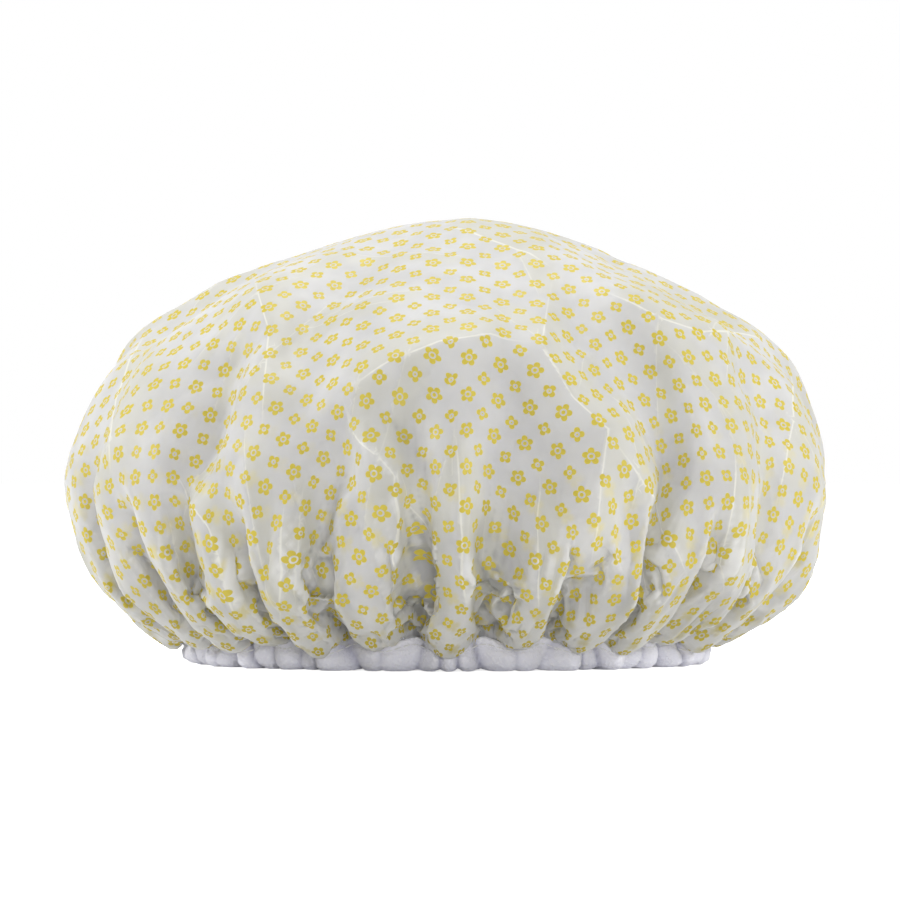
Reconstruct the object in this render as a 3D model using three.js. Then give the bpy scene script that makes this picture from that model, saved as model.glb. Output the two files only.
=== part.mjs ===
// A bouffant shower cap standing on its hem. A round of printed waterproof film and a round of
// terry lie one inside the other. Their rims are gathered together and bound in a folded terry
// strip, which also holds a flat elastic loop. Two lockstitch threads close the binding, a tack
// joins the lapped ends of the elastic and another joins the ends of the binding.
//
// Millimetres, +Z up. The origin is the middle of the hem's underside, and the front is -Y.
// A bearing is measured from the front towards +X, in degrees.
import * as THREE from "three";

// The puffed body
const CAP_WIDTH = 290;
const CAP_DEPTH = 288;
const CAP_HEIGHT = 169;
const CROWN_HALF = 50;
const CROWN_DROP = 10;
const SHOULDER_DROP = 45;
const SHOULDER_INSET = 28;
const FULLEST_HEIGHT = 70;
const UNDERSIDE_HEIGHT = 18;
const UNDERSIDE_INSET = 24;

// The sheet goods
const FILM_THICKNESS = 0.2;
const TERRY_THICKNESS = 1.5;
const CLEARANCE = 0.3;

// The terry is heavier than the film and hangs a little inside it, most at this height.
const LINING_SLACK = 2;
const LINING_SAG = 7;
const LINING_SAG_HEIGHT = 70;
const LINING_SAG_REACH = 55;
const LINING_FREE_HEIGHT = 24;

// The hem
const ELASTIC_LOOP = 181;
const ELASTIC_WIDTH = 8;
const ELASTIC_THICKNESS = 1.2;
const INNER_LEAF_HEIGHT = 15;
const OUTER_LEAF_HEIGHT = 13;
const OUTER_LEAF_DIP = 4.5;
const OUTER_LEAF_BULGE = 0.8;
const RIM_TUCK = 4;
const EXIT_RISE = 3;
const EXIT_REACH = 2.5;

// The gathers
const GATHERS = 28;
const GATHER_DEPTH = 6;
const INNER_GATHER_DEPTH = 3;
const GATHER_SWELL = 20;
const GATHER_SWELL_HEIGHT = 30;
const GATHER_REACH = 32;
const GATHER_LEAST_FULLNESS = 0.56;
const GATHER_VARIES = 2.4;
const GATHER_WANDER = 2;
const GATHER_WANDERS = 5;

// The threads
const THREAD_DIAMETER = 0.6;
const STITCH_RISE = 0.35;
const SEAM_BELOW_EDGE = 2.6;
const TACK_LENGTH = 8;
const JOIN_HEIGHT = 5;
const JOIN_WIDTH = 3;

// The main folds that stand out on the film. Each runs through a few points of bearing and height,
// and rises or sinks from the puffed body there, fading over its spread.
const FOLDS = [
  { name: "brow ridge", line: [[-22, 108], [-10, 112]], rise: 4.5, spread: 16 },
  { name: "hollow left of the brow", line: [[-46, 118], [-38, 92]], rise: -5, spread: 18 },
  { name: "ridge right of the middle", line: [[10, 122], [14, 50]], rise: 4.5, spread: 14 },
  { name: "right shoulder ridge", line: [[22, 148], [45, 140]], rise: 4.5, spread: 18 },
  { name: "left shoulder hollow", line: [[-30, 152], [-30, 132]], rise: -4, spread: 16 },
  { name: "left side ridge", line: [[-73, 92], [-72, 45]], rise: 5, spread: 15 },
  { name: "right side ridge", line: [[84, 112], [98, 112]], rise: 5, spread: 16 },
  { name: "right side hollow", line: [[100, 58], [102, 30]], rise: -4, spread: 15 },
  { name: "right rear hollow", line: [[123, 60], [124, 25]], rise: -5, spread: 13 },
  { name: "rear crown hollow", line: [[172, 148], [178, 132]], rise: -4, spread: 18 },
  { name: "left rear ridge", line: [[-146, 118], [-138, 108]], rise: 4, spread: 15 },
];

// The gathers run together upwards into broader swells, first half and then a quarter as many.
const SWELLS = [
  { name: "side swells", count: GATHERS / 2, turned: 1.15, rise: 7.2, height: 80, reach: 34 },
  { name: "crown swells", count: GATHERS / 4, turned: 0.4, rise: 5.2, height: 130, reach: 30 },
];

// How finely the surfaces are cut. The rings are places along the outline, counted in its spans.
const COLUMNS_PER_GATHER = 2;
const BODY_RINGS = [0, 0.55, 1.1, 1.5, 2, 2.5, 3.05, 3.7, 4.4];
const THREAD_SIDES = 5;

const COLUMNS = GATHERS * COLUMNS_PER_GATHER;
const COLUMN_LIST = Array.from({ length: COLUMNS }, (_, column) => column);
const radians = THREE.MathUtils.degToRad;

// A wave between 0 and 1 that starts at 1
function wave(turn) {
  return 0.5 + 0.5 * Math.cos(turn);
}

// A point at a bearing in radians, a radius from the cap's upright axis and a height
function around(bearing, radius, height) {
  return new THREE.Vector3(radius * Math.sin(bearing), -radius * Math.cos(bearing), height);
}

// The bearing of a column. The gathers are not all of one width.
function bearingOf(column) {
  const turn = (2 * Math.PI * column) / COLUMNS;
  return turn + radians(GATHER_WANDER) * Math.sin(GATHER_WANDERS * turn);
}

// How far out a column stands on its gather: 1 on the crest of a full gather, 0 in a valley
function gatherOf(column) {
  const gather = Math.round(column / COLUMNS_PER_GATHER) % GATHERS;
  const fullness = THREE.MathUtils.lerp(GATHER_LEAST_FULLNESS, 1, wave(GATHER_VARIES * gather));
  return fullness * wave((2 * Math.PI * column) / COLUMNS_PER_GATHER);
}

// Hem radii, from the elastic outwards and inwards
const ELASTIC_RADIUS = ELASTIC_LOOP / 2;
const ELASTIC_FACE = ELASTIC_THICKNESS / 2 + CLEARANCE;
const FILM_STAND_OFF = ELASTIC_FACE + TERRY_THICKNESS + CLEARANCE + FILM_THICKNESS / 2;
const OUTER_LEAF_STAND_OFF = FILM_STAND_OFF + FILM_THICKNESS / 2 + CLEARANCE;

function filmRimRadius(column) {
  return ELASTIC_RADIUS + FILM_STAND_OFF + GATHER_DEPTH * gatherOf(column);
}

function outerLeafRadius(column) {
  return ELASTIC_RADIUS + OUTER_LEAF_STAND_OFF + TERRY_THICKNESS + GATHER_DEPTH * gatherOf(column);
}

function innerLeafRadius(column) {
  return ELASTIC_RADIUS - ELASTIC_FACE - TERRY_THICKNESS - INNER_GATHER_DEPTH * gatherOf(column);
}

// The outer leaf's upper edge dips where a gather rolls outwards.
function outerLeafTop(column) {
  return OUTER_LEAF_HEIGHT - OUTER_LEAF_DIP * gatherOf(column);
}

// The puffed body's outline at a bearing, from the film's way out of the hem up to the crown
function bodyOutline(bearing, exitRadius, exitHeight) {
  const full = Math.hypot((CAP_WIDTH / 2) * Math.sin(bearing), (CAP_DEPTH / 2) * Math.cos(bearing));
  const shoulder = new THREE.Vector2(full - SHOULDER_INSET, CAP_HEIGHT - SHOULDER_DROP);
  return new THREE.SplineCurve([
    new THREE.Vector2(exitRadius, exitHeight),
    new THREE.Vector2(full - UNDERSIDE_INSET, UNDERSIDE_HEIGHT),
    new THREE.Vector2(full, FULLEST_HEIGHT),
    shoulder,
    new THREE.Vector2(CROWN_HALF, CAP_HEIGHT - CROWN_DROP),
    new THREE.Vector2(0, CAP_HEIGHT),
    new THREE.Vector2(-CROWN_HALF, CAP_HEIGHT - CROWN_DROP),
  ]);
}

// The outline has this many spans, and runs on past the crown by its last one.
const OUTLINE_SPANS = 6;
const CROWN_AT = 5 / OUTLINE_SPANS;

// A point of the puffed body at a bearing and a height, found by halving along its outline
function bodyPoint(bearingDegrees, height) {
  const bearing = radians(bearingDegrees);
  const exitRadius = ELASTIC_RADIUS + FILM_STAND_OFF + EXIT_REACH;
  const outline = bodyOutline(bearing, exitRadius, OUTER_LEAF_HEIGHT);
  let low = 0;
  let high = CROWN_AT;
  for (let step = 0; step < 30; step += 1) {
    const middle = (low + high) / 2;
    if (outline.getPoint(middle).y < height) low = middle;
    else high = middle;
  }
  const found = outline.getPoint(low);
  return around(bearing, found.x, found.y);
}

const FOLD_LINES = FOLDS.map(({ line, rise, spread }) => {
  const points = line.map(([bearing, height]) => bodyPoint(bearing, height));
  const runs = points.slice(1).map((end, index) => new THREE.Line3(points[index], end));
  return { runs, rise, spread };
});

// How far the folds lift a point of the puffed body
function foldLift(point) {
  const nearest = new THREE.Vector3();
  return FOLD_LINES.reduce((lift, { runs, rise, spread }) => {
    const gap = Math.min(
      ...runs.map((run) => run.closestPointToPoint(point, true, nearest).distanceTo(point)),
    );
    return lift + rise * Math.exp(-((gap / spread) ** 2));
  }, 0);
}

// How far the broad swells lift a column of the puffed body at a height
function swellLift(column, height) {
  const turn = (2 * Math.PI * column) / COLUMNS;
  return SWELLS.reduce((lift, swell) => {
    const fade = Math.exp(-(((height - swell.height) / swell.reach) ** 2));
    return lift + swell.rise * Math.cos(swell.count * turn + swell.turned) * fade;
  }, 0);
}

// The film's middle surface as rows of points from its tucked rim up, and the crown where they meet
function filmSurface() {
  const rows = [RIM_TUCK, null].map((height) =>
    COLUMN_LIST.map((column) =>
      around(bearingOf(column), filmRimRadius(column), height ?? outerLeafTop(column)),
    ),
  );
  BODY_RINGS.forEach((ring) => {
    rows.push(
      COLUMN_LIST.map((column) => {
        const bearing = bearingOf(column);
        const exit = [filmRimRadius(column) + EXIT_REACH, outerLeafTop(column) + EXIT_RISE];
        const at = bodyOutline(bearing, ...exit).getPoint(ring / OUTLINE_SPANS);
        const fade = ((at.y - GATHER_SWELL_HEIGHT) / GATHER_REACH) ** 2;
        const swell = ring ? GATHER_SWELL * (gatherOf(column) - 0.5) * Math.exp(-fade) : 0;
        const lift = ring ? foldLift(around(bearing, at.x, at.y)) + swellLift(column, at.y) : 0;
        const outwards = new THREE.Vector2(at.x, Math.max(0, at.y - FULLEST_HEIGHT)).normalize();
        const radius = at.x + swell + lift * outwards.x;
        return around(bearing, radius, at.y + lift * outwards.y);
      }),
    );
  });
  return { rows, crown: new THREE.Vector3(0, 0, CAP_HEIGHT) };
}

// The direction out of a surface of rows and columns at each of its points
function outwardDirections({ rows, crown }) {
  return rows.map((row, r) =>
    row.map((point, c) => {
      const after = row[(c + 1) % row.length];
      const before = row[(c + row.length - 1) % row.length];
      const above = rows[r + 1] ? rows[r + 1][c] : crown;
      const below = rows[r - 1] ? rows[r - 1][c] : point;
      return after.clone().sub(before).cross(above.clone().sub(below)).normalize();
    }),
  );
}

// A surface moved along its outward directions, by a distance that depends on the height
function offsetSurface(surface, directions, distanceAt) {
  return {
    rows: surface.rows.map((row, r) =>
      row.map((point, c) => point.clone().addScaledVector(directions[r][c], distanceAt(point.z))),
    ),
    crown: surface.crown.clone().add(new THREE.Vector3(0, 0, distanceAt(surface.crown.z))),
  };
}

// How far inside the film the lining hangs at a height. In the hem the two lie together.
function liningHang(height) {
  const above = THREE.MathUtils.smoothstep(height, INNER_LEAF_HEIGHT, LINING_FREE_HEIGHT);
  const sag = LINING_SAG * Math.exp(-(((height - LINING_SAG_HEIGHT) / LINING_SAG_REACH) ** 2));
  return above * (LINING_SLACK + sag);
}

function geometryOf(points, triangles) {
  const geometry = new THREE.BufferGeometry().setFromPoints(points);
  geometry.setIndex(triangles);
  geometry.computeVertexNormals();
  return geometry;
}

// Whether each four-sided patch of a surface is shorter across from its lower left corner
function shorterFromLowerLeft({ rows }) {
  return rows.slice(1).map((above, r) =>
    above.map((_, c) => {
      const next = (c + 1) % above.length;
      return rows[r][c].distanceTo(above[next]) <= rows[r][next].distanceTo(above[c]);
    }),
  );
}

// A cap-shaped skin between an outer and an inner surface, closed round its rim. Both are cut
// into triangles alike, so that neighbouring skins stay parallel.
function skinGeometry(outer, inner, fromLowerLeft) {
  const columns = outer.rows[0].length;
  const points = [];
  const triangles = [];
  const walls = [outer, inner].map((surface) => {
    const start = points.length;
    points.push(...surface.rows.flat(), surface.crown);
    return { at: (row, column) => start + row * columns + (column % columns), crown: points.length - 1 };
  });
  const [out, into] = walls;
  const last = outer.rows.length - 1;
  for (let column = 0; column < columns; column += 1) {
    for (let row = 0; row < last; row += 1) {
      const corners = (wall) => [
        wall.at(row, column),
        wall.at(row, column + 1),
        wall.at(row + 1, column + 1),
        wall.at(row + 1, column),
      ];
      const first = fromLowerLeft[row][column] ? 0 : 1;
      const [a, b, c, d] = [0, 1, 2, 3].map((turn) => corners(out)[(turn + first) % 4]);
      const [e, f, g, h] = [0, 1, 2, 3].map((turn) => corners(into)[(turn + first) % 4]);
      triangles.push(a, b, c, a, c, d, e, g, f, e, h, g);
    }
    triangles.push(out.at(last, column), out.at(last, column + 1), out.crown);
    triangles.push(into.at(last, column), into.crown, into.at(last, column + 1));
    const rim = [out.at(0, column), into.at(0, column), into.at(0, column + 1), out.at(0, column + 1)];
    triangles.push(rim[0], rim[1], rim[2], rim[0], rim[2], rim[3]);
  }
  return geometryOf(points, triangles);
}

// A ring swept from a section of [radius, height] corners at each column, listed up the outside first
function ringGeometry(bearings, sectionAt) {
  const sections = bearings.map((bearing, index) =>
    sectionAt(index).map(([radius, height]) => around(bearing, radius, height)),
  );
  const corners = sections[0].length;
  const triangles = [];
  bearings.forEach((_, index) => {
    const next = (index + 1) % bearings.length;
    for (let corner = 0; corner < corners; corner += 1) {
      const up = (corner + 1) % corners;
      const a = index * corners + corner;
      const b = next * corners + corner;
      const c = next * corners + up;
      const d = index * corners + up;
      triangles.push(a, b, c, a, c, d);
    }
  });
  return geometryOf(sections.flat(), triangles);
}

const BEARINGS = COLUMN_LIST.map(bearingOf);

// The folded strip: an outer leaf, a fold that stands on the floor, and an inner leaf
function bindingSection(column) {
  const out = outerLeafRadius(column);
  const into = innerLeafRadius(column);
  const top = outerLeafTop(column);
  return [
    [out, 0],
    [out + OUTER_LEAF_BULGE, top / 2],
    [out, top],
    [out - TERRY_THICKNESS, top],
    [out - TERRY_THICKNESS, TERRY_THICKNESS],
    [into + TERRY_THICKNESS, TERRY_THICKNESS],
    [into + TERRY_THICKNESS, INNER_LEAF_HEIGHT],
    [into, INNER_LEAF_HEIGHT],
    [into, 0],
  ];
}

// The elastic stands clear of the fold by the tack that wraps its lapped ends.
const TACK_WALL = THREAD_DIAMETER;
const ELASTIC_FOOT = TERRY_THICKNESS + CLEARANCE + TACK_WALL + CLEARANCE;

function elasticSection() {
  const half = ELASTIC_THICKNESS / 2;
  const top = ELASTIC_FOOT + ELASTIC_WIDTH;
  return [
    [ELASTIC_RADIUS + half, ELASTIC_FOOT],
    [ELASTIC_RADIUS + half, top],
    [ELASTIC_RADIUS - half, top],
    [ELASTIC_RADIUS - half, ELASTIC_FOOT],
  ];
}

// A thread laid along the binding, standing proud in the middle of each stitch
function threadSection(radius, height, outward, column) {
  const proud = STITCH_RISE * (column % 2);
  const middle = radius + outward * (CLEARANCE + THREAD_DIAMETER / 2 + proud);
  return Array.from({ length: THREAD_SIDES }, (_, side) => {
    const turn = (2 * Math.PI * side) / THREAD_SIDES;
    const swing = THREAD_DIAMETER / 2;
    return [middle + swing * Math.cos(turn), height + swing * Math.sin(turn)];
  });
}

// How far the outer leaf's face stands out at a height, between its edges and its bulge
function outerLeafFace(column, height) {
  const middle = outerLeafTop(column) / 2;
  return outerLeafRadius(column) + OUTER_LEAF_BULGE * (1 - Math.abs(height - middle) / middle);
}

function needleThreadSection(column) {
  const height = outerLeafTop(column) - SEAM_BELOW_EDGE;
  return threadSection(outerLeafFace(column, height - THREAD_DIAMETER / 2), height, 1, column);
}

function bobbinThreadSection(column) {
  return threadSection(innerLeafRadius(column), INNER_LEAF_HEIGHT - SEAM_BELOW_EDGE, -1, column);
}

// The column at the middle of the back, on the crest of a gather
const BACK_COLUMN = COLUMN_LIST.reduce((best, column) => {
  const away = (c) => Math.abs(bearingOf(c) - Math.PI) + (c % COLUMNS_PER_GATHER ? Math.PI : 0);
  return away(column) < away(best) ? column : best;
}, 0);

// A flat frame of thread, wrapped round the lapped ends of the elastic at the back
function tackGeometry() {
  const frame = (radialHalf, heightHalf) => [
    new THREE.Vector2(-radialHalf, -heightHalf),
    new THREE.Vector2(radialHalf, -heightHalf),
    new THREE.Vector2(radialHalf, heightHalf),
    new THREE.Vector2(-radialHalf, heightHalf),
  ];
  const hole = [ELASTIC_FACE, ELASTIC_WIDTH / 2 + CLEARANCE];
  const shape = new THREE.Shape(frame(hole[0] + TACK_WALL, hole[1] + TACK_WALL));
  shape.holes.push(new THREE.Path(frame(...hole)));
  return new THREE.ExtrudeGeometry(shape, { depth: TACK_LENGTH, bevelEnabled: false, curveSegments: 1 })
    .translate(0, 0, -TACK_LENGTH / 2)
    .rotateX(Math.PI / 2)
    .rotateZ(Math.PI / 2);
}

// The short row of stitches across the binding's ends, zigzagging down the inner leaf
function joinGeometry() {
  const zigs = 6;
  const route = Array.from({ length: zigs + 1 }, (_, zig) => {
    const across = ((zig % 2) - 0.5) * JOIN_WIDTH;
    return new THREE.Vector3(across, 0, JOIN_HEIGHT * (zig / zigs - 0.5));
  });
  const section = new THREE.Shape();
  section.absarc(0, 0, THREAD_DIAMETER / 2, 0, 2 * Math.PI);
  return new THREE.ExtrudeGeometry(section, {
    extrudePath: new THREE.CatmullRomCurve3(route),
    steps: zigs * 4,
    curveSegments: THREAD_SIDES,
    bevelEnabled: false,
  });
}

const film = new THREE.MeshStandardMaterial({ color: 0xf0eee2, roughness: 0.4, metalness: 0 });
const terry = new THREE.MeshStandardMaterial({ color: 0xeeeef4, roughness: 0.95, metalness: 0 });
const elastic = new THREE.MeshStandardMaterial({ color: 0xe8e8e6, roughness: 0.8, metalness: 0 });
const thread = new THREE.MeshStandardMaterial({ color: 0xf4f4f4, roughness: 0.7, metalness: 0 });

function piece(name, geometry, material) {
  const mesh = new THREE.Mesh(geometry, material);
  mesh.name = name;
  return mesh;
}

const filmMiddle = filmSurface();
const filmOut = outwardDirections(filmMiddle);
const cuts = shorterFromLowerLeft(filmMiddle);
const liningOuter = (height) => -(FILM_THICKNESS / 2 + CLEARANCE + liningHang(height));
const walls = [
  () => FILM_THICKNESS / 2,
  () => -FILM_THICKNESS / 2,
  liningOuter,
  (height) => liningOuter(height) - TERRY_THICKNESS,
];
const [filmOuterWall, filmInnerWall, liningOuterWall, liningInnerWall] = walls.map((distanceAt) =>
  offsetSurface(filmMiddle, filmOut, distanceAt),
);

const cap = new THREE.Group();
cap.add(
  piece("film_shell", skinGeometry(filmOuterWall, filmInnerWall, cuts), film),
  piece("terry_lining", skinGeometry(liningOuterWall, liningInnerWall, cuts), terry),
  piece("hem_binding", ringGeometry(BEARINGS, bindingSection), terry),
  piece("elastic_band", ringGeometry(BEARINGS, elasticSection), elastic),
  piece("needle_thread", ringGeometry(BEARINGS, needleThreadSection), thread),
  piece("bobbin_thread", ringGeometry(BEARINGS, bobbinThreadSection), thread),
);

const tack = piece("elastic_tack", tackGeometry(), thread);
const backBearing = bearingOf(BACK_COLUMN);
tack.position.copy(around(backBearing, ELASTIC_RADIUS, ELASTIC_FOOT + ELASTIC_WIDTH / 2));
tack.rotation.z = backBearing;
cap.add(tack);

const join = piece("binding_join", joinGeometry(), thread);
const joinRadius = innerLeafRadius(BACK_COLUMN) - CLEARANCE - THREAD_DIAMETER / 2;
join.position.copy(around(backBearing, joinRadius, INNER_LEAF_HEIGHT / 2 - THREAD_DIAMETER));
join.rotation.z = backBearing;
cap.add(join);

export default cap;
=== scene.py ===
"""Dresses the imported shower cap: printed film, terry lining, bound hem, elastic and threads.

The film is cut as a flat round, gathered to the hem and let settle as cloth. The lining is drawn
up behind it, and the hem's pieces follow the same gathers. Metres, +Z up, the front is -Y, and a
bearing is measured from the front towards +X.
"""

import logging
import math
from dataclasses import dataclass, field
from enum import Enum
from typing import Sequence

import bmesh
import bpy
import numpy as np
from mathutils import Matrix, Vector, noise
from mathutils.bvhtree import BVHTree

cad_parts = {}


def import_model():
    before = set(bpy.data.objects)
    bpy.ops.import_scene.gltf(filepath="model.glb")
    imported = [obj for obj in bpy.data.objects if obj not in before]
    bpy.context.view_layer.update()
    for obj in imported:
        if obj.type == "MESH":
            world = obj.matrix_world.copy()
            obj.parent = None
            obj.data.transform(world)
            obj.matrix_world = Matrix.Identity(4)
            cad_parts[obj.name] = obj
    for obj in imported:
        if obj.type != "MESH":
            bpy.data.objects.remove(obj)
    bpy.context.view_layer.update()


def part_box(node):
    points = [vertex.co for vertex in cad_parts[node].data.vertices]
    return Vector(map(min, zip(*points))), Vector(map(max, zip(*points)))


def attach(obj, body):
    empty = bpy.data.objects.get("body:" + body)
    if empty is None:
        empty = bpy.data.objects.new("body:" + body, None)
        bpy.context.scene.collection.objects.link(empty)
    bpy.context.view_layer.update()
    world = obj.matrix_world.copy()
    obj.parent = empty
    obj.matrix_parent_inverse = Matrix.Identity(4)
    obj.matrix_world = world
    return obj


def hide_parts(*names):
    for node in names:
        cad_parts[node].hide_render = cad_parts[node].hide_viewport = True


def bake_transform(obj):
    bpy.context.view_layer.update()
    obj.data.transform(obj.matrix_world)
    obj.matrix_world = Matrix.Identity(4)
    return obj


LOG = logging.getLogger("shower_cap")
PRINT_MAP = "print"
FULL_TURN = 2 * math.pi
MM = 0.001


class Body(Enum):
    """The frame's bodies."""

    CAP = "cap"
    HEM_BACK = "hem_back"


class Slot(Enum):
    """The record's material slots."""

    FILM = "film"
    TERRY = "terry"
    ELASTIC = "elastic"
    THREAD = "thread"


class FoldKind(Enum):
    """How a fold of the film stands: as a sharp crest, or as a soft hollow."""

    CREST = "crest"
    HOLLOW = "hollow"


def ease(low: float, high: float, value: np.ndarray) -> np.ndarray:
    """A smooth step from 0 at low to 1 at high.

    Args:
        low: where the step starts.
        high: where the step ends.
        value: the places to read it at.

    Returns:
        The step at each place.
    """
    share = np.clip((value - low) / (high - low), 0, 1)
    return share * share * (3 - 2 * share)


def around(bearing: np.ndarray, radius: np.ndarray, height: np.ndarray) -> np.ndarray:
    """Points at a bearing, a radius from the upright axis and a height.

    Args:
        bearing: bearings in radians, from the front towards +X.
        radius: distances from the axis.
        height: heights.

    Returns:
        One row of x, y and z for each point.
    """
    return np.stack([radius * np.sin(bearing), -radius * np.cos(bearing), height], -1)


def flowing_line(corners: Sequence[tuple[float, float]], steps: int) -> np.ndarray:
    """A smooth line through corners, which uses its first and last only for direction.

    Args:
        corners: the points that the line passes through.
        steps: how many points there are from one corner to the next.

    Returns:
        The points of the line.
    """
    knots = np.array(corners, float)
    share = np.linspace(0, 1, steps, endpoint=False)[:, None]
    runs = []
    for before, start, end, after in zip(knots, knots[1:], knots[2:], knots[3:]):
        curve = 2 * start + (end - before) * share
        curve = curve + (2 * before - 5 * start + 4 * end - after) * share**2
        curve = curve + (3 * start - before - 3 * end + after) * share**3
        runs.append(curve / 2)
    runs.append(knots[-2:-1])
    return np.concatenate(runs)


def run_lengths(line: np.ndarray) -> np.ndarray:
    """How far along a line each of its points lies."""
    steps = np.linalg.norm(np.diff(line, axis=0), axis=1)
    return np.concatenate([[0], np.cumsum(steps)])


def axis_view(points: np.ndarray) -> tuple[np.ndarray, np.ndarray]:
    """How far round the upright axis points are, from the front, and how far from it."""
    turn = np.arctan2(points[:, 0], -points[:, 1]) % FULL_TURN
    return turn, np.hypot(points[:, 0], points[:, 1])


def rows_of(
    items: bpy.types.bpy_prop_collection, name: str, width: int, kind: type = float
) -> np.ndarray:
    """One value of every point, edge or corner of a mesh.

    Args:
        items: the points, edges or corners.
        name: the value's name.
        width: how many numbers it has.
        kind: the kind of number.

    Returns:
        One row for each item.
    """
    flat = np.empty(len(items) * width, kind)
    items.foreach_get(name, flat)
    return flat.reshape(-1, width)


def points_of(mesh: bpy.types.Mesh) -> np.ndarray:
    """A mesh's points, one row each."""
    return rows_of(mesh.vertices, "co", 3)


def normals_of(mesh: bpy.types.Mesh) -> np.ndarray:
    """The way out of a mesh at each of its points, one row each."""
    return np.array([vert.normal for vert in mesh.vertices])


def corners_of(mesh: bpy.types.Mesh) -> np.ndarray:
    """Which point each corner of a mesh's faces lies at."""
    return rows_of(mesh.loops, "vertex_index", 1, int)[:, 0]


def set_points(mesh: bpy.types.Mesh, points: np.ndarray) -> None:
    """Moves a mesh's points to new places, one row each."""
    mesh.vertices.foreach_set("co", points.astype(np.float32).ravel())
    mesh.update()


def store(mesh: bpy.types.Mesh, name: str, values: np.ndarray) -> None:
    """Stores one number for each point of a mesh, for its finish to read."""
    layer = mesh.attributes.new(name, "FLOAT", "POINT")
    layer.data.foreach_set("value", values.astype(np.float32))


def in_scene(name: str, data: bpy.types.ID) -> bpy.types.Object:
    """Puts a new object with some data in the scene."""
    thing = bpy.data.objects.new(name, data)
    bpy.context.scene.collection.objects.link(thing)
    return thing


def new_piece(name: str, mesh: bpy.types.Mesh, material: bpy.types.Material) -> bpy.types.Object:
    """Puts a mesh in the scene as a smooth piece with one material.

    Args:
        name: the piece's name.
        mesh: its mesh, already in place.
        material: its finish.

    Returns:
        The new object.
    """
    mesh.name = name
    mesh.materials.clear()
    mesh.materials.append(material)
    mesh.shade_smooth()
    return in_scene(name, mesh)


def mesh_of(work: bmesh.types.BMesh, name: str) -> bpy.types.Mesh:
    """Turns a finished bmesh into a mesh and frees it.

    Args:
        work: the bmesh.
        name: the mesh's name.

    Returns:
        The mesh.
    """
    mesh = bpy.data.meshes.new(name)
    work.to_mesh(mesh)
    work.free()
    return mesh


def smooth(work: bmesh.types.BMesh, verts: list[bmesh.types.BMVert], factor: float) -> None:
    """Moves points part of the way to the middle of their neighbours."""
    ways = {"use_axis_x": True, "use_axis_y": True, "use_axis_z": True}
    bmesh.ops.smooth_vert(work, verts=verts, factor=factor, **ways)


def spin_ring(work: bmesh.types.BMesh, parts: int, steps: int) -> None:
    """Spins the edges of a section round the upright axis into a closed ring.

    Args:
        work: the bmesh that holds the section's edges alone.
        parts: how many like parts the ring has.
        steps: how many steps there are in a part.
    """
    part = FULL_TURN / parts
    whole = {"cent": (0, 0, 0), "axis": (0, 0, 1)}
    bmesh.ops.spin(work, geom=work.edges[:], angle=part, steps=steps, **whole)
    bmesh.ops.spin(
        work, geom=work.faces[:], angle=part * (parts - 1), steps=parts - 1, use_duplicate=True, **whole
    )
    bmesh.ops.remove_doubles(work, verts=work.verts[:], dist=1e-6)
    bmesh.ops.recalc_face_normals(work, faces=work.faces[:])


def settled_mesh(piece: bpy.types.Object) -> bpy.types.Mesh:
    """A piece's mesh with its modifiers applied."""
    graph = bpy.context.evaluated_depsgraph_get()
    return bpy.data.meshes.new_from_object(piece.evaluated_get(graph))


@dataclass(frozen=True)
class GatherPlan:
    """How the spare cloth of the rims is shared out round the hem."""

    count: int = 28
    wander: float = math.radians(2)
    wanders: int = 5
    least_fullness: float = 0.56
    varies: float = 2.4
    roundness: float = 0.7

    def bearing(self, turn: np.ndarray) -> np.ndarray:
        """The bearing at which a turn of the flat round comes to lie."""
        return turn + self.wander * np.sin(self.wanders * turn)

    def fullness(self, turn: np.ndarray) -> np.ndarray:
        """How full the gather at a turn is, up to 1."""
        gather = np.round(turn * self.count / FULL_TURN) % self.count
        wave = 0.5 + 0.5 * np.cos(self.varies * gather)
        return self.least_fullness + (1 - self.least_fullness) * wave

    def rise(self, turn: np.ndarray) -> np.ndarray:
        """How far out a turn stands: 1 on a full gather's crest, 0 in a valley."""
        wave = 0.5 + 0.5 * np.cos(self.count * turn)
        return self.fullness(turn) * wave**self.roundness


@dataclass(frozen=True)
class HemSizes:
    """The hem's sizes, from the elastic outwards and inwards."""

    elastic_radius: float = 0.0905
    elastic_width: float = 0.008
    elastic_thickness: float = 0.0012
    elastic_foot: float = 0.0027
    film_radius: float = 0.0933
    outer_face: float = 0.0952
    inner_face: float = 0.0881
    leaf: float = 0.0015
    outer_top: float = 0.013
    outer_dip: float = 0.0045
    inner_top: float = 0.015
    gather_out: float = 0.006
    gather_in: float = 0.003
    seam_below_edge: float = 0.0026
    thread: float = 0.0006


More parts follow.
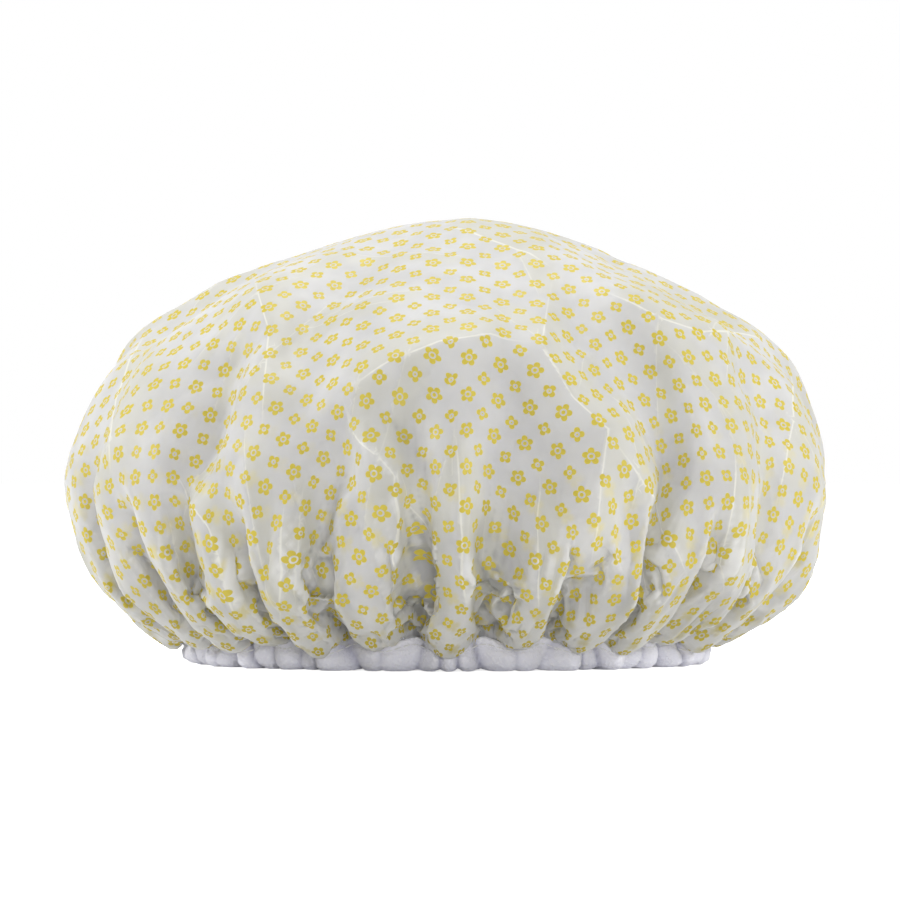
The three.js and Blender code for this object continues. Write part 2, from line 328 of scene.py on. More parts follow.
@dataclass(frozen=True)
class CapOutline:
    """The puffed body that the film is gathered to before it settles."""

    width: float = 0.290
    depth: float = 0.288
    height: float = 0.1675
    crown_half: float = 0.050
    crown_drop: float = 0.0100
    shoulder_inset: float = 0.028
    shoulder_height: float = 0.124
    fullest_height: float = 0.070
    underside_inset: float = 0.017
    underside_height: float = 0.017
    exit_radius: float = 0.106
    exit_height: float = 0.0125
    mouth_radius: float = 0.0968
    mouth_height: float = 0.0115
    rim_radius: float = 0.0958
    rim_height: float = 0.004
    steps: int = 40

    def meridian(self, full: float) -> np.ndarray:
        """The outline from the crown to the rim on a side that is this full.

        Args:
            full: the greatest distance from the axis.

        Returns:
            Rows of radius and height.
        """
        crown = (self.crown_half, self.height - self.crown_drop)
        return flowing_line(
            [
                (-crown[0], crown[1]),
                (0, self.height),
                crown,
                (full - self.shoulder_inset, self.shoulder_height),
                (full, self.fullest_height),
                (full - self.underside_inset, self.underside_height),
                (self.exit_radius, self.exit_height),
                (self.mouth_radius, self.mouth_height),
                (self.rim_radius, self.rim_height),
                (self.rim_radius, -self.rim_height),
            ],
            self.steps,
        )

    def place(self, share: np.ndarray, bearing: np.ndarray) -> tuple[np.ndarray, np.ndarray]:
        """Where shares of the way from crown to rim lie.

        Args:
            share: 0 at the crown to 1 at the rim.
            bearing: the bearings.

        Returns:
            The radii and the heights.
        """
        half_wide, half_deep = self.width / 2, self.depth / 2
        full = np.hypot(half_wide * np.sin(bearing), half_deep * np.cos(bearing))
        wide = (full - half_deep) / (half_wide - half_deep)
        found = []
        for half in (half_deep, half_wide):
            line = self.meridian(half)
            lengths = run_lengths(line)
            along = np.clip(share, 0, 1) * lengths[-1]
            found.append([np.interp(along, lengths, line[:, axis]) for axis in (0, 1)])
        deep_side, wide_side = found
        radius, height = (a * (1 - wide) + b * wide for a, b in zip(deep_side, wide_side))
        return radius, height


@dataclass(frozen=True)
class PhotoView:
    """The photograph's frame, as a camera in front of the cap."""

    pixels: int = 900
    metres_per_pixel: float = 0.000381
    middle_pixel: float = 449.0
    floor_pixel: float = 663.0
    distance: float = 3.0
    elevation: float = math.radians(0.4)
    sensor: float = 36.0

    def place(self, pixel: tuple[float, float]) -> np.ndarray:
        """The sideways place and height that a pixel shows at the cap's middle."""
        across = (pixel[0] - self.middle_pixel) * self.metres_per_pixel
        up = (self.floor_pixel - pixel[1]) * self.metres_per_pixel
        return np.array([across, up])

    def seen(self, points: np.ndarray) -> np.ndarray:
        """Where points appear, as sideways place and height at the cap's middle."""
        across, up = self.place((self.pixels / 2, self.pixels / 2))
        nearer = self.distance / (self.distance + points[:, 1])
        middle = np.array([across, up])
        return middle + (points[:, [0, 2]] - middle) * nearer[:, None]

    def build(self) -> bpy.types.Object:
        """Makes the camera and gives it to the scene.

        Returns:
            The camera.
        """
        data = bpy.data.cameras.new("photo_view")
        data.sensor_width = self.sensor
        data.lens = self.sensor * self.distance / (self.pixels * self.metres_per_pixel)
        camera = in_scene("photo_view", data)
        across, up = self.place((self.pixels / 2, self.pixels / 2))
        target = Vector((across, 0, up))
        back = Vector((0, -math.cos(self.elevation), math.sin(self.elevation)))
        camera.location = target + back * self.distance
        camera.rotation_euler = back.to_track_quat("Z", "Y").to_euler()
        bpy.context.scene.camera = camera
        return camera


@dataclass(frozen=True)
class CreaseLine:
    """A sharp crease beside some points: two flat flanks that meet on its line."""

    gap: np.ndarray
    ends: np.ndarray
    height: float
    width: float

    def lift(self) -> np.ndarray:
        """How far the crease lifts each point."""
        return self.height * np.clip(1 - np.abs(self.gap) / self.width, 0, 1) * self.ends

    def doubled(self) -> np.ndarray:
        """How much painted shade goes beside the line, on its left, as of film lying double there."""
        return np.where(self.gap > 0, np.clip(1 - self.gap / self.width, 0, 1), 0) * self.ends


@dataclass(frozen=True)
class FrontFold:
    """A fold that the photograph shows on the front, through pixels, with its rise and spread."""

    name: str
    pixels: tuple[tuple[float, float], ...]
    rise: float
    spread: float
    kind: FoldKind = FoldKind.CREST
    fade: float = 0.25
    flank: float = 1.2

    def distance(self, view: PhotoView, seen: np.ndarray) -> np.ndarray:
        """How far points lie from the fold's line, as seen from the front.

        Args:
            view: the photograph's frame.
            seen: rows of sideways place and height.

        Returns:
            The distances.
        """
        return np.abs(self._nearest(view, seen)[0])

    def _nearest(self, view: PhotoView, seen: np.ndarray) -> tuple[np.ndarray, np.ndarray]:
        """How far points lie to the left of the fold's line, and where along it, from 0 to 1."""
        nearest, along = np.full(len(seen), np.inf), np.zeros(len(seen))
        places = np.array([view.place(pixel) for pixel in self.pixels])
        lengths = run_lengths(places)
        for start, end, before, after in zip(places, places[1:], lengths, lengths[1:]):
            run, off = end - start, seen - start
            share = np.clip(off @ run / (run @ run), 0, 1)
            gap = np.linalg.norm(off - share[:, None] * run, axis=1)
            closer = gap < np.abs(nearest)
            along = np.where(closer, (before + share * (after - before)) / lengths[-1], along)
            side = np.where(run[0] * off[:, 1] - run[1] * off[:, 0] < 0, -1, 1)
            nearest = np.where(closer, side * gap, nearest)
        return nearest, along

    def line(self, view: PhotoView, seen: np.ndarray) -> CreaseLine:
        """The fold as a crease line that fades at its ends."""
        gap, along = self._nearest(view, seen)
        ends = ease(0.0, self.fade, along) * ease(1.0, 1 - self.fade, along)
        return CreaseLine(gap, ends, max(self.rise, 0), self.flank * self.spread)

    def shape(self, gap: np.ndarray) -> np.ndarray:
        """The fold's height at distances from its line."""
        reach = gap / self.spread
        return self.rise * np.exp(-reach if self.kind is FoldKind.CREST else -(reach**2))


FRONT_FOLDS = (
    FrontFold("brow", ((342, 392), (390, 365), (440, 345), (490, 337), (530, 345)), 6 * MM, 12 * MM),
    FrontFold("crown edge", ((440, 225), (500, 245), (555, 268)), 3 * MM, 16 * MM),
    FrontFold(
        "right of the middle",
        ((555, 268), (537, 350), (570, 400), (605, 432), (597, 480), (590, 580)),
        6 * MM,
        11 * MM,
    ),
    FrontFold(
        "left of the middle",
        ((342, 392), (352, 425), (392, 475), (388, 560), (385, 625)),
        6 * MM,
        11 * MM,
    ),
    FrontFold("deep hollow", ((408, 425), (416, 500), (412, 600)), -10 * MM, 12 * MM, FoldKind.HOLLOW),
    FrontFold("middle", ((455, 420), (460, 520), (468, 625)), 3 * MM, 10 * MM),
    FrontFold("low hollow", ((500, 540), (505, 625)), -5 * MM, 12 * MM, FoldKind.HOLLOW),
    FrontFold("inner right", ((540, 470), (538, 620)), 3 * MM, 10 * MM),
    FrontFold("right shoulder", ((595, 285), (660, 322), (700, 335), (785, 342)), 4 * MM, 15 * MM),
    FrontFold("right slant", ((610, 440), (655, 505), (690, 580)), 4 * MM, 10 * MM),
    FrontFold("right upright", ((735, 440), (722, 600)), 4 * MM, 10 * MM),
    FrontFold("right corner", ((787, 345), (790, 420), (775, 510)), 3 * MM, 10 * MM),
    FrontFold("left slant", ((170, 465), (212, 525), (232, 600), (245, 640)), 5 * MM, 10 * MM),
    FrontFold("left shoulder", ((252, 268), (270, 330), (262, 430)), 3 * MM, 14 * MM),
    FrontFold("left corner", ((150, 320), (120, 400), (110, 480)), 3 * MM, 12 * MM),
    FrontFold("inner left", ((285, 500), (280, 630)), 3 * MM, 10 * MM),
)


@dataclass(frozen=True)
class FineCreases:
    """The thin straight creases that handling leaves all over the film."""

    count: int = 150
    seed: int = 11
    inner: float = 0.035
    outer: float = 0.250
    slants: tuple[float, float] = (1.0, 0.2)
    lengths: tuple[float, float] = (0.025, 0.090)
    heights: tuple[float, float] = (0.0004, 0.0012)
    widths: tuple[float, float] = (0.008, 0.018)
    raised_share: float = 0.65
    full_until: float = 0.6

    def lines(self, cut: np.ndarray) -> list[CreaseLine]:
        """The creases beside points of the flat round, strewn at random.

        Args:
            cut: where the points lie on the flat round.

        Returns:
            The creases, sunk ones with a height below 0.
        """
        dice = np.random.default_rng(self.seed)
        found = []
        for _ in range(self.count):
            reach = math.sqrt(dice.uniform(self.inner**2, self.outer**2))
            bearing = dice.uniform(0, FULL_TURN)
            way = bearing + dice.normal(0, np.interp(reach, (0, self.outer), self.slants))
            length, width = dice.uniform(*self.lengths), dice.uniform(*self.widths)
            height = dice.uniform(*self.heights) * (1 if dice.uniform() < self.raised_share else -1)
            off = cut - reach * np.array([math.sin(bearing), -math.cos(bearing)])
            along = off @ np.array([math.sin(way), -math.cos(way)])
            across = off @ np.array([math.cos(way), math.sin(way)])
            ends = ease(1.0, self.full_until, np.abs(along) / (length / 2))
            found.append(CreaseLine(across, ends, height, width))
        return found


@dataclass(frozen=True)
class Settling:
    """How the film is let go as cloth: its stiffness, and how firmly each zone is held."""

    frames: int = 24
    carried_until: int = 4
    quality: int = 8
    point_mass: float = 2e-5
    stretch: float = 20.0
    shear: float = 10.0
    bend_low: float = 0.3
    bend_high: float = 15.0
    damping: float = 0.02
    air: float = 1.0
    puff: float = 20.0
    hold_everywhere: float = 0.15
    hold_crests: float = 0.4
    hold_hem: float = 0.8
    hold_crown: float = 0.55

    def run(
        self,
        mesh: bpy.types.Mesh,
        gathered: np.ndarray,
        hold: np.ndarray,
        stiff: np.ndarray,
    ) -> np.ndarray:
        """Carries the cut cloth to its gathered shape, lets it go and waits until it lies still.

        Args:
            mesh: the cloth at its true lengths.
            gathered: where its points are carried to.
            hold: how firmly each point is held there, up to 1.
            stiff: how stiff each point is to bend, up to 1.

        Returns:
            Where the points come to lie.
        """
        scene = bpy.context.scene
        piece = in_scene("settling", mesh.copy())
        self._carry(piece, gathered)
        for name, weights in (("held", np.ones(len(hold))), ("let_go", hold), ("stiff", stiff)):
            group = piece.vertex_groups.new(name=name)
            for index, weight in enumerate(weights):
                group.add([index], float(weight), "REPLACE")
        self._release(piece)
        self._dress(piece)
        for frame in range(1, self.frames + 1):
            scene.frame_set(frame)
        graph = bpy.context.evaluated_depsgraph_get()
        settled = points_of(piece.evaluated_get(graph).data)
        scene.frame_set(1)
        data, keys = piece.data, piece.data.shape_keys
        actions = {holder.animation_data.action.name for holder in (piece, keys)}
        bpy.data.objects.remove(piece)
        bpy.data.meshes.remove(data)
        for name in actions:
            bpy.data.actions.remove(bpy.data.actions[name])
        return settled

    def _carry(self, piece: bpy.types.Object, gathered: np.ndarray) -> None:
        """Moves the cloth from its cut shape to its gathered one over the first frames."""
        piece.shape_key_add(name="cut")
        key = piece.shape_key_add(name="gathered", from_mix=False)
        key.data.foreach_set("co", gathered.astype(np.float32).ravel())
        for value, frame in ((0.0, 1), (1.0, self.carried_until)):
            key.value = value
            key.keyframe_insert("value", frame=frame)

    def _release(self, piece: bpy.types.Object) -> None:
        """Changes from holding every point to holding each as asked, once it is carried there."""
        mix = piece.modifiers.new("release", "VERTEX_WEIGHT_MIX")
        mix.vertex_group_a = "held"
        mix.vertex_group_b = "let_go"
        mix.default_weight_b = 0.0
        mix.mix_mode = "SET"
        mix.mix_set = "ALL"
        for share, frame in ((0.0, self.carried_until), (1.0, self.carried_until + 1)):
            mix.mask_constant = share
            mix.keyframe_insert("mask_constant", frame=frame)

    def _dress(self, piece: bpy.types.Object) -> None:
        """Gives the piece the film's stiffness, with no weight and a little air inside."""
        cloth = piece.modifiers.new("film", "CLOTH")
        settings = cloth.settings
        settings.vertex_group_mass = "held"
        settings.quality = self.quality
        settings.mass = self.point_mass
        settings.tension_stiffness = self.stretch
        settings.compression_stiffness = self.stretch
        settings.shear_stiffness = self.shear
        settings.bending_model = "ANGULAR"
        settings.bending_stiffness = self.bend_low
        settings.vertex_group_bending = "stiff"
        settings.bending_stiffness_max = self.bend_high
        settings.tension_damping = self.damping
        settings.compression_damping = self.damping
        settings.shear_damping = self.damping
        settings.bending_damping = self.damping
        settings.air_damping = self.air
        settings.use_pressure = True
        settings.uniform_pressure_force = self.puff
        settings.effector_weights.gravity = 0
        cloth.collision_settings.use_collision = False
        cloth.point_cache.frame_start = 1
        cloth.point_cache.frame_end = self.frames


class NodeSketch:
    """Adds and joins the nodes of one tree."""

    def __init__(self, tree: bpy.types.NodeTree) -> None:
        """Starts on a tree, as it is."""
        self.tree = tree

    def add(self, kind: str, **settings: object) -> bpy.types.Node:
        """A new node with some of its settings changed."""
        node = self.tree.nodes.new(kind)
        for name, value in settings.items():
            setattr(node, name, value)
        return node

    def feed(self, socket: bpy.types.NodeSocket, value: object) -> None:
        """Gives a socket a plain value or another socket's."""
        if isinstance(value, bpy.types.NodeSocket):
            self.tree.links.new(value, socket)
        else:
            socket.default_value = value

    def dress(self, node: bpy.types.Node, values: dict[str, object]) -> None:
        """Gives a node's named inputs plain values or other sockets'."""
        for name, value in values.items():
            self.feed(node.inputs[name], value)

    def attribute(self, name: str) -> bpy.types.NodeSocket:
        """A number that a piece's points store."""
        return self.add("ShaderNodeAttribute", attribute_name=name).outputs["Fac"]

    def part(self, place: object, axis: str) -> bpy.types.NodeSocket:
        """One part of a vector."""
        node = self.add("ShaderNodeSeparateXYZ")
        self.feed(node.inputs[0], place)
        return node.outputs[axis]

    def scaled(self, place: object, factor: float) -> bpy.types.NodeSocket:
        """A vector times a factor."""
        node = self.add("ShaderNodeVectorMath", operation="SCALE")
        self.dress(node, {"Vector": place, "Scale": factor})
        return node.outputs[0]

    def millimetres(self) -> bpy.types.NodeSocket:
        """A piece's own coordinates, in millimetres."""
        return self.scaled(self.add("ShaderNodeTexCoord").outputs["Object"], 1 / MM)

    def math(self, operation: str, *values: object, clamp: bool = False) -> bpy.types.NodeSocket:
        """The result of a sum on values or sockets."""
        node = self.add("ShaderNodeMath", operation=operation, use_clamp=clamp)
        for socket, value in zip(node.inputs, values):
            self.feed(socket, value)
        return node.outputs[0]

    def vector(self, operation: str, *values: object, output: int = 0) -> bpy.types.NodeSocket:
        """The result of a sum on vectors."""
        node = self.add("ShaderNodeVectorMath", operation=operation)
        for socket, value in zip(node.inputs, values):
            self.feed(socket, value)
        return node.outputs[output]

    def spread(
        self, value: object, low: object, high: object, start: object = 0.0, end: object = 1.0
    ) -> bpy.types.NodeSocket:
        """A value taken smoothly from one range to another."""
        node = self.add("ShaderNodeMapRange", interpolation_type="SMOOTHSTEP")
        for socket, given in zip(node.inputs, (value, low, high, start, end)):
            self.feed(socket, given)
        return node.outputs[0]

    def colour(self, share: object, first: object, second: object) -> bpy.types.NodeSocket:
        """A colour between two others."""
        node = self.add("ShaderNodeMix", data_type="RGBA")
        for index, given in ((0, share), (6, first), (7, second)):
            self.feed(node.inputs[index], given)
        return node.outputs[2]

    def noise(self, place: object, scale: float, detail: float = 2.0) -> bpy.types.NodeSocket:
        """A soft random value over a place."""
        node = self.add("ShaderNodeTexNoise")
        self.dress(node, {"Vector": place, "Scale": scale, "Detail": detail})
        return node.outputs["Fac"]

    def bump(self, height: object, strength: float, distance: float) -> bpy.types.NodeSocket:
        """A normal bent by a height."""
        node = self.add("ShaderNodeBump")
        self.dress(node, {"Strength": strength, "Distance": distance, "Height": height})
        return node.outputs["Normal"]

    def blend(self, share: object, first: object, second: object) -> bpy.types.NodeSocket:
        """A surface between two others."""
        node = self.add("ShaderNodeMixShader")
        for socket, given in zip(node.inputs, (share, first, second)):
            self.feed(socket, given)
        return node.outputs[0]

    def group(self, tree: bpy.types.NodeTree, **values: object) -> bpy.types.Node:
        """A node group placed with values for its inputs."""
        node = self.add("ShaderNodeGroup", node_tree=tree)
        self.dress(node, values)
        return node


def new_group(name: str, inputs: dict[str, str], outputs: dict[str, str]) -> bpy.types.NodeTree:
    """An empty node group with named sockets.

    Args:
        name: the group's name.
        inputs: each input's name and kind of socket.
        outputs: each output's name and kind of socket.

    Returns:
        The group.
    """
    tree = bpy.data.node_groups.new(name, "ShaderNodeTree")
    for sockets, way in ((inputs, "INPUT"), (outputs, "OUTPUT")):
        for socket, kind in sockets.items():
            tree.interface.new_socket(socket, in_out=way, socket_type=kind)
    return tree


@dataclass(frozen=True)
class BlossomRepeat:
    """A repeat of small petalled blossoms, each turned its own way and with a pale ring."""

    name: str = "blossom repeat"
    petal_roundness: float = 0.55
    waist: float = 0.44
    ring_inside: tuple[float, float] = (0.20, 0.26)
    ring_outside: tuple[float, float] = (0.42, 0.36)
    ring_lost: tuple[float, float] = (0.8, 0.2)

    def tree(self) -> bpy.types.NodeTree:
        """Builds the node group.

        Returns:
            The group, which takes a place in millimetres and gives the ink there.
        """
        number, vector = "NodeSocketFloat", "NodeSocketVector"
        inputs = {"Place": vector, "Pitch": vector, "Shift": vector}
        inputs |= {"Petals": number, "Reach": number, "Blur": number}
        tree = new_group(self.name, inputs, {"Ink": number})
        draw = NodeSketch(tree)
        given = draw.add("NodeGroupInput").outputs
        pitch, blur = given["Pitch"], given["Blur"]
        moved = draw.vector("ADD", given["Place"], given["Shift"])
        near = draw.vector("WRAP", moved, draw.scaled(pitch, 0.5), draw.scaled(pitch, -0.5))
        cell = draw.vector("DIVIDE", draw.vector("SUBTRACT", moved, near), pitch)
        dice = draw.add("ShaderNodeTexWhiteNoise", noise_dimensions="2D")
        draw.feed(dice.inputs["Vector"], draw.vector("FLOOR", draw.vector("ADD", cell, (0.5, 0.5, 0.5))))
        radius = draw.vector("LENGTH", near, output=1)
        angle = draw.math("ARCTAN2", draw.part(near, "Y"), draw.part(near, "X"))
        angle = draw.math("MULTIPLY_ADD", dice.outputs["Value"], FULL_TURN, angle)
        swing = draw.math("MULTIPLY", draw.math("MULTIPLY", angle, given["Petals"]), 0.5)
        wave = draw.math("ABSOLUTE", draw.math("COSINE", swing))
        petal = draw.math("POWER", wave, self.petal_roundness)
        share = draw.math("MULTIPLY_ADD", petal, 1 - self.waist, self.waist)
        edge = draw.math("MULTIPLY", given["Reach"], share)
        inside = draw.spread(draw.math("SUBTRACT", edge, radius), draw.math("MULTIPLY", blur, -1.0), blur)
        reach = draw.math("DIVIDE", radius, given["Reach"])
        ring = draw.math(
            "MULTIPLY", draw.spread(reach, *self.ring_inside), draw.spread(reach, *self.ring_outside)
        )
        ring = draw.math("MULTIPLY", ring, draw.spread(blur, *self.ring_lost))
        ink = draw.math("MULTIPLY", inside, draw.math("SUBTRACT", 1.0, ring))
        draw.dress(draw.add("NodeGroupOutput"), {"Ink": ink})
        return tree


@dataclass(frozen=True)
class TerryPile:
    """The looped pile of terry: tufts about a millimetre across, and the hollows between them."""

    name: str = "terry pile"
    stir: float = 0.9
    softness: float = 0.6
    dome: tuple[float, float] = (0.75, 0.05)
    fibres: float = 3.2
    fibre_share: float = 0.55
    patches: float = 0.12
    patch_share: float = 0.35
    painted_pile_shade_share: float = 0.75

    def tree(self) -> bpy.types.NodeTree:
        """Builds the node group.

        Returns:
            The group, which takes a place in millimetres and gives the height there, and the shade:
            painted shade in the hollows between tufts, with random patches of tone.
        """
        number, vector = "NodeSocketFloat", "NodeSocketVector"
        outputs = {"Height": number, "Shade": number}
        tree = new_group(self.name, {"Place": vector, "Tufts": number}, outputs)
        draw = NodeSketch(tree)
        given = draw.add("NodeGroupInput").outputs
        stir = draw.add("ShaderNodeTexNoise")
        draw.dress(stir, {"Vector": given["Place"], "Scale": self.stir})
        shifted = draw.vector("ADD", given["Place"], stir.outputs["Color"])
        tufts = draw.add("ShaderNodeTexVoronoi", feature="SMOOTH_F1")
        draw.dress(tufts, {"Vector": shifted, "Scale": given["Tufts"], "Smoothness": self.softness})
        dome = draw.spread(tufts.outputs["Distance"], *self.dome)
        dome = draw.math("MULTIPLY", dome, 1 - self.fibre_share)
        fibre = draw.noise(given["Place"], self.fibres, 3.0)
        height = draw.math("MULTIPLY_ADD", fibre, self.fibre_share, dome)
        # Painted shade, darker in the hollows between tufts, with random patches of tone added.
        patch = draw.noise(given["Place"], self.patches, 2.0)
        tone = draw.math("MULTIPLY", height, self.painted_pile_shade_share)
        shade = draw.math("MULTIPLY_ADD", patch, self.patch_share, tone, clamp=True)
        draw.dress(draw.add("NodeGroupOutput"), {"Height": height, "Shade": shade})
        return tree


def new_material(name: str) -> tuple[bpy.types.Material, NodeSketch, bpy.types.Node]:
    """A material with a principled surface and its output.

    Args:
        name: the finish's name.

    Returns:
        The material, a sketch of its nodes, and the principled node.
    """
    material = bpy.data.materials.new(name)
    material.use_nodes = True
    nodes = material.node_tree.nodes
    return material, NodeSketch(material.node_tree), nodes["Principled BSDF"]


@dataclass(frozen=True)
class FilmFinish:
    """Frosted see-through film with a small yellow print, and painted light and shade on its folds."""

    name: str = "printed_film"
    milk: tuple[float, ...] = (0.48, 0.48, 0.48, 1)
    milk_pale: tuple[float, ...] = (0.58, 0.58, 0.58, 1)
    # Painted highlight on crests.
    milk_painted_crest_highlight: tuple[float, ...] = (0.72, 0.72, 0.71, 1)
    # Painted shade in valleys.
    milk_painted_valley_shade: tuple[float, ...] = (0.30, 0.30, 0.28, 1)
    # Painted glow of the ink on the layers behind, seen through the film.
    milk_painted_glow_behind: tuple[float, ...] = (0.62, 0.54, 0.19, 1)
    # Painted shade beside creases, as of film lying double.
    milk_painted_double_shade: tuple[float, ...] = (0.47, 0.46, 0.37, 1)
    # Painted highlight lines on sharp folds.
    milk_painted_highlight_line: tuple[float, ...] = (0.95, 0.94, 0.82, 1)
    # Painted light low on the film, where it lies over the white terry.
    milk_painted_low_light: tuple[float, ...] = (0.82, 0.82, 0.81, 1)
    painted_low_light_heights: tuple[float, float] = (30.0, 8.0)
    glow: tuple[float, ...] = (0.74, 0.75, 0.76, 1)
    ink_deep: tuple[float, ...] = (0.50, 0.37, 0.012, 1)
    ink_pale: tuple[float, ...] = (0.60, 0.50, 0.05, 1)
    ink_glow: tuple[float, ...] = (0.70, 0.60, 0.10, 1)
    clear_face_on: float = 0.36
    clear_edge_on: float = 0.05
    inked_clear: float = 0.15
    glow_share: float = 0.28
    roughness: tuple[float, float] = (0.43, 0.59)
    shine: float = 0.4
    mottle_patches: float = 0.05
    haze_patches: float = 0.25
    ink_patches: float = 0.7
    grain_size: float = 1.6
    grain_strength: float = 0.10
    grain_depth: float = 0.0006
    # Painted highlight lines along sharp folds.
    painted_line_width: float = 0.4
    painted_line_core: float = 0.4
    painted_line_share: float = 0.4
    # Painted shade beside the creases, as of film lying double.
    painted_double_shade_share: float = 0.5
    repeat: tuple[float, ...] = (13.2, 14.4, 1.0)
    blossom: float = 3.35
    floret: float = 2.8
    print_blur: float = 0.12
    # A painted yellow glow, as of the ink on the layers behind seen through the film.
    painted_glow_blur: float = 1.5
    painted_glow_shift: tuple[float, ...] = (4.1, 9.3, 0.0)
    painted_glow_heights: tuple[float, float] = (120.0, 40.0)
    painted_glow_share: float = 0.8
    painted_glow_patches: float = 0.03
    painted_glow_spread: tuple[float, float] = (0.38, 0.58)

    def material(self, cut_radius: float) -> bpy.types.Material:
        """Builds the finish for a round of this radius, whose print map spans it from edge to edge.

        Args:
            cut_radius: the round's radius.

        Returns:
            The material.
        """
        material, draw, surface = new_material(self.name)
        place = draw.millimetres()
        ink, painted_glow_behind = self._ink(draw, cut_radius)
        # Painted shade beside the raised creases, as of film lying double there.
        double = draw.math("MULTIPLY", draw.spread(draw.attribute("doubled"), 0.0, 0.6), self.painted_double_shade_share)
        # Painted highlight lines along the sharp folds.
        edge = self._painted_highlight_lines(draw)
        body = self._body(draw, painted_glow_behind, double, edge)
        ink_tone = draw.colour(draw.noise(place, self.ink_patches, 3.0), self.ink_deep, self.ink_pale)
        haze = draw.noise(place, self.haze_patches, 4.0)
        grain = draw.math("MULTIPLY_ADD", draw.noise(place, self.grain_size, 3.0), 0.5, haze)
        draw.dress(
            surface,
            {
                "Base Color": draw.colour(ink, body, ink_tone),
                "Roughness": draw.spread(haze, 0.2, 0.8, *self.roughness),
                "Specular IOR Level": self.shine,
                "Normal": draw.bump(grain, self.grain_strength, self.grain_depth),
            },
        )
        through = draw.add("ShaderNodeBsdfTranslucent")
        draw.dress(through, {"Color": draw.colour(ink, self.glow, self.ink_glow)})
        lit = draw.blend(self.glow_share, surface.outputs[0], through.outputs[0])
        facing = draw.add("ShaderNodeLayerWeight").outputs["Facing"]
        clear = draw.spread(facing, 0.1, 0.8, self.clear_face_on, self.clear_edge_on)
        solid = draw.math("MAXIMUM", edge, double)
        solid = draw.math("MAXIMUM", solid, draw.math("MULTIPLY", ink, 1 - self.inked_clear))
        clear = draw.math("MULTIPLY", clear, draw.math("SUBTRACT", 1.0, solid))
        seen = draw.blend(clear, lit, draw.add("ShaderNodeBsdfTransparent").outputs[0])
        draw.dress(material.node_tree.nodes["Material Output"], {"Surface": seen})
        return material

    def _body(
        self,
        draw: NodeSketch,
        painted_glow_behind: bpy.types.NodeSocket,
        double: bpy.types.NodeSocket,
        edge: bpy.types.NodeSocket,
    ) -> bpy.types.NodeSocket:
        """The colour of the film without its own ink, with its painted light and shade.

        Args:
            draw: the material's sketch.
            painted_glow_behind: the painted glow of the blurred ink of the layers behind.
            double: the painted shade beside the creases, as of film lying double.
            edge: the painted highlight lines of sharp folds.

        Returns:
            The colour.
        """
        place = draw.millimetres()
        mottle = draw.spread(draw.noise(place, self.mottle_patches, 3.0), 0.3, 0.7)
        crease = draw.attribute("crease")
        # Painted highlight on the film's crests and painted shade in its valleys.
        crest, valley = draw.spread(crease, 0.1, 0.9), draw.spread(crease, -0.1, -0.9)
        body = draw.colour(mottle, self.milk, self.milk_pale)
        # Painted light and shade over the mottled film: shade beside creases, light low down, a glow of
        # the ink behind, highlights on crests, shade in valleys, highlight lines on folds.
        tints = (
            (double, self.milk_painted_double_shade),
            # Painted light low on the film, where it lies over the white terry.
            (draw.spread(draw.part(place, "Z"), *self.painted_low_light_heights), self.milk_painted_low_light),
            (painted_glow_behind, self.milk_painted_glow_behind),
            (crest, self.milk_painted_crest_highlight),
            (valley, self.milk_painted_valley_shade),
            (edge, self.milk_painted_highlight_line),
        )
        for share, tint in tints:
            body = draw.colour(share, body, tint)
        return body

    def _painted_highlight_lines(self, draw: NodeSketch) -> bpy.types.NodeSocket:
        """Painted highlight lines: thin pale lines where the film is folded sharply."""
        gap = draw.math("ABSOLUTE", draw.attribute("edge_gap"))
        line = draw.spread(gap, self.painted_line_width, self.painted_line_width * self.painted_line_core)
        return draw.math("MULTIPLY", line, draw.math("MULTIPLY", draw.attribute("edge"), self.painted_line_share))

    def _ink(
        self, draw: NodeSketch, cut_radius: float
    ) -> tuple[bpy.types.NodeSocket, bpy.types.NodeSocket]:
        """How much ink there is: blossoms, with smaller ones between them.

        Args:
            draw: the material's sketch.
            cut_radius: the round's radius.

        Returns:
            The ink on the film, and a painted glow of the blurred ink of the layers behind it in the
            gathers.
        """
        flat = draw.add("ShaderNodeUVMap", uv_map=PRINT_MAP).outputs["UV"]
        place = draw.scaled(flat, 2 * cut_radius / MM)
        tree = BlossomRepeat().tree()
        half = tuple(side / 2 for side in self.repeat)
        common = {"Place": place, "Pitch": self.repeat}
        large = draw.group(tree, Petals=5.0, Reach=self.blossom, Blur=self.print_blur, **common)
        small = draw.group(
            tree, Shift=half, Petals=4.0, Reach=self.floret, Blur=self.print_blur, **common
        )
        # A painted glow: the print, shifted and blurred, as of the ink behind seen through the film,
        # stronger low down.
        behind = draw.group(
            tree, Shift=self.painted_glow_shift, Petals=4.0, Reach=self.blossom, Blur=self.painted_glow_blur, **common
        )
        body = draw.millimetres()
        low = draw.spread(draw.part(body, "Z"), *self.painted_glow_heights, 0.0, self.painted_glow_share)
        patches = draw.spread(draw.noise(body, self.painted_glow_patches), *self.painted_glow_spread)
        painted_glow_behind = draw.math("MULTIPLY", draw.math("MULTIPLY", behind.outputs["Ink"], low), patches)
        return draw.math("MAXIMUM", large.outputs["Ink"], small.outputs["Ink"]), painted_glow_behind


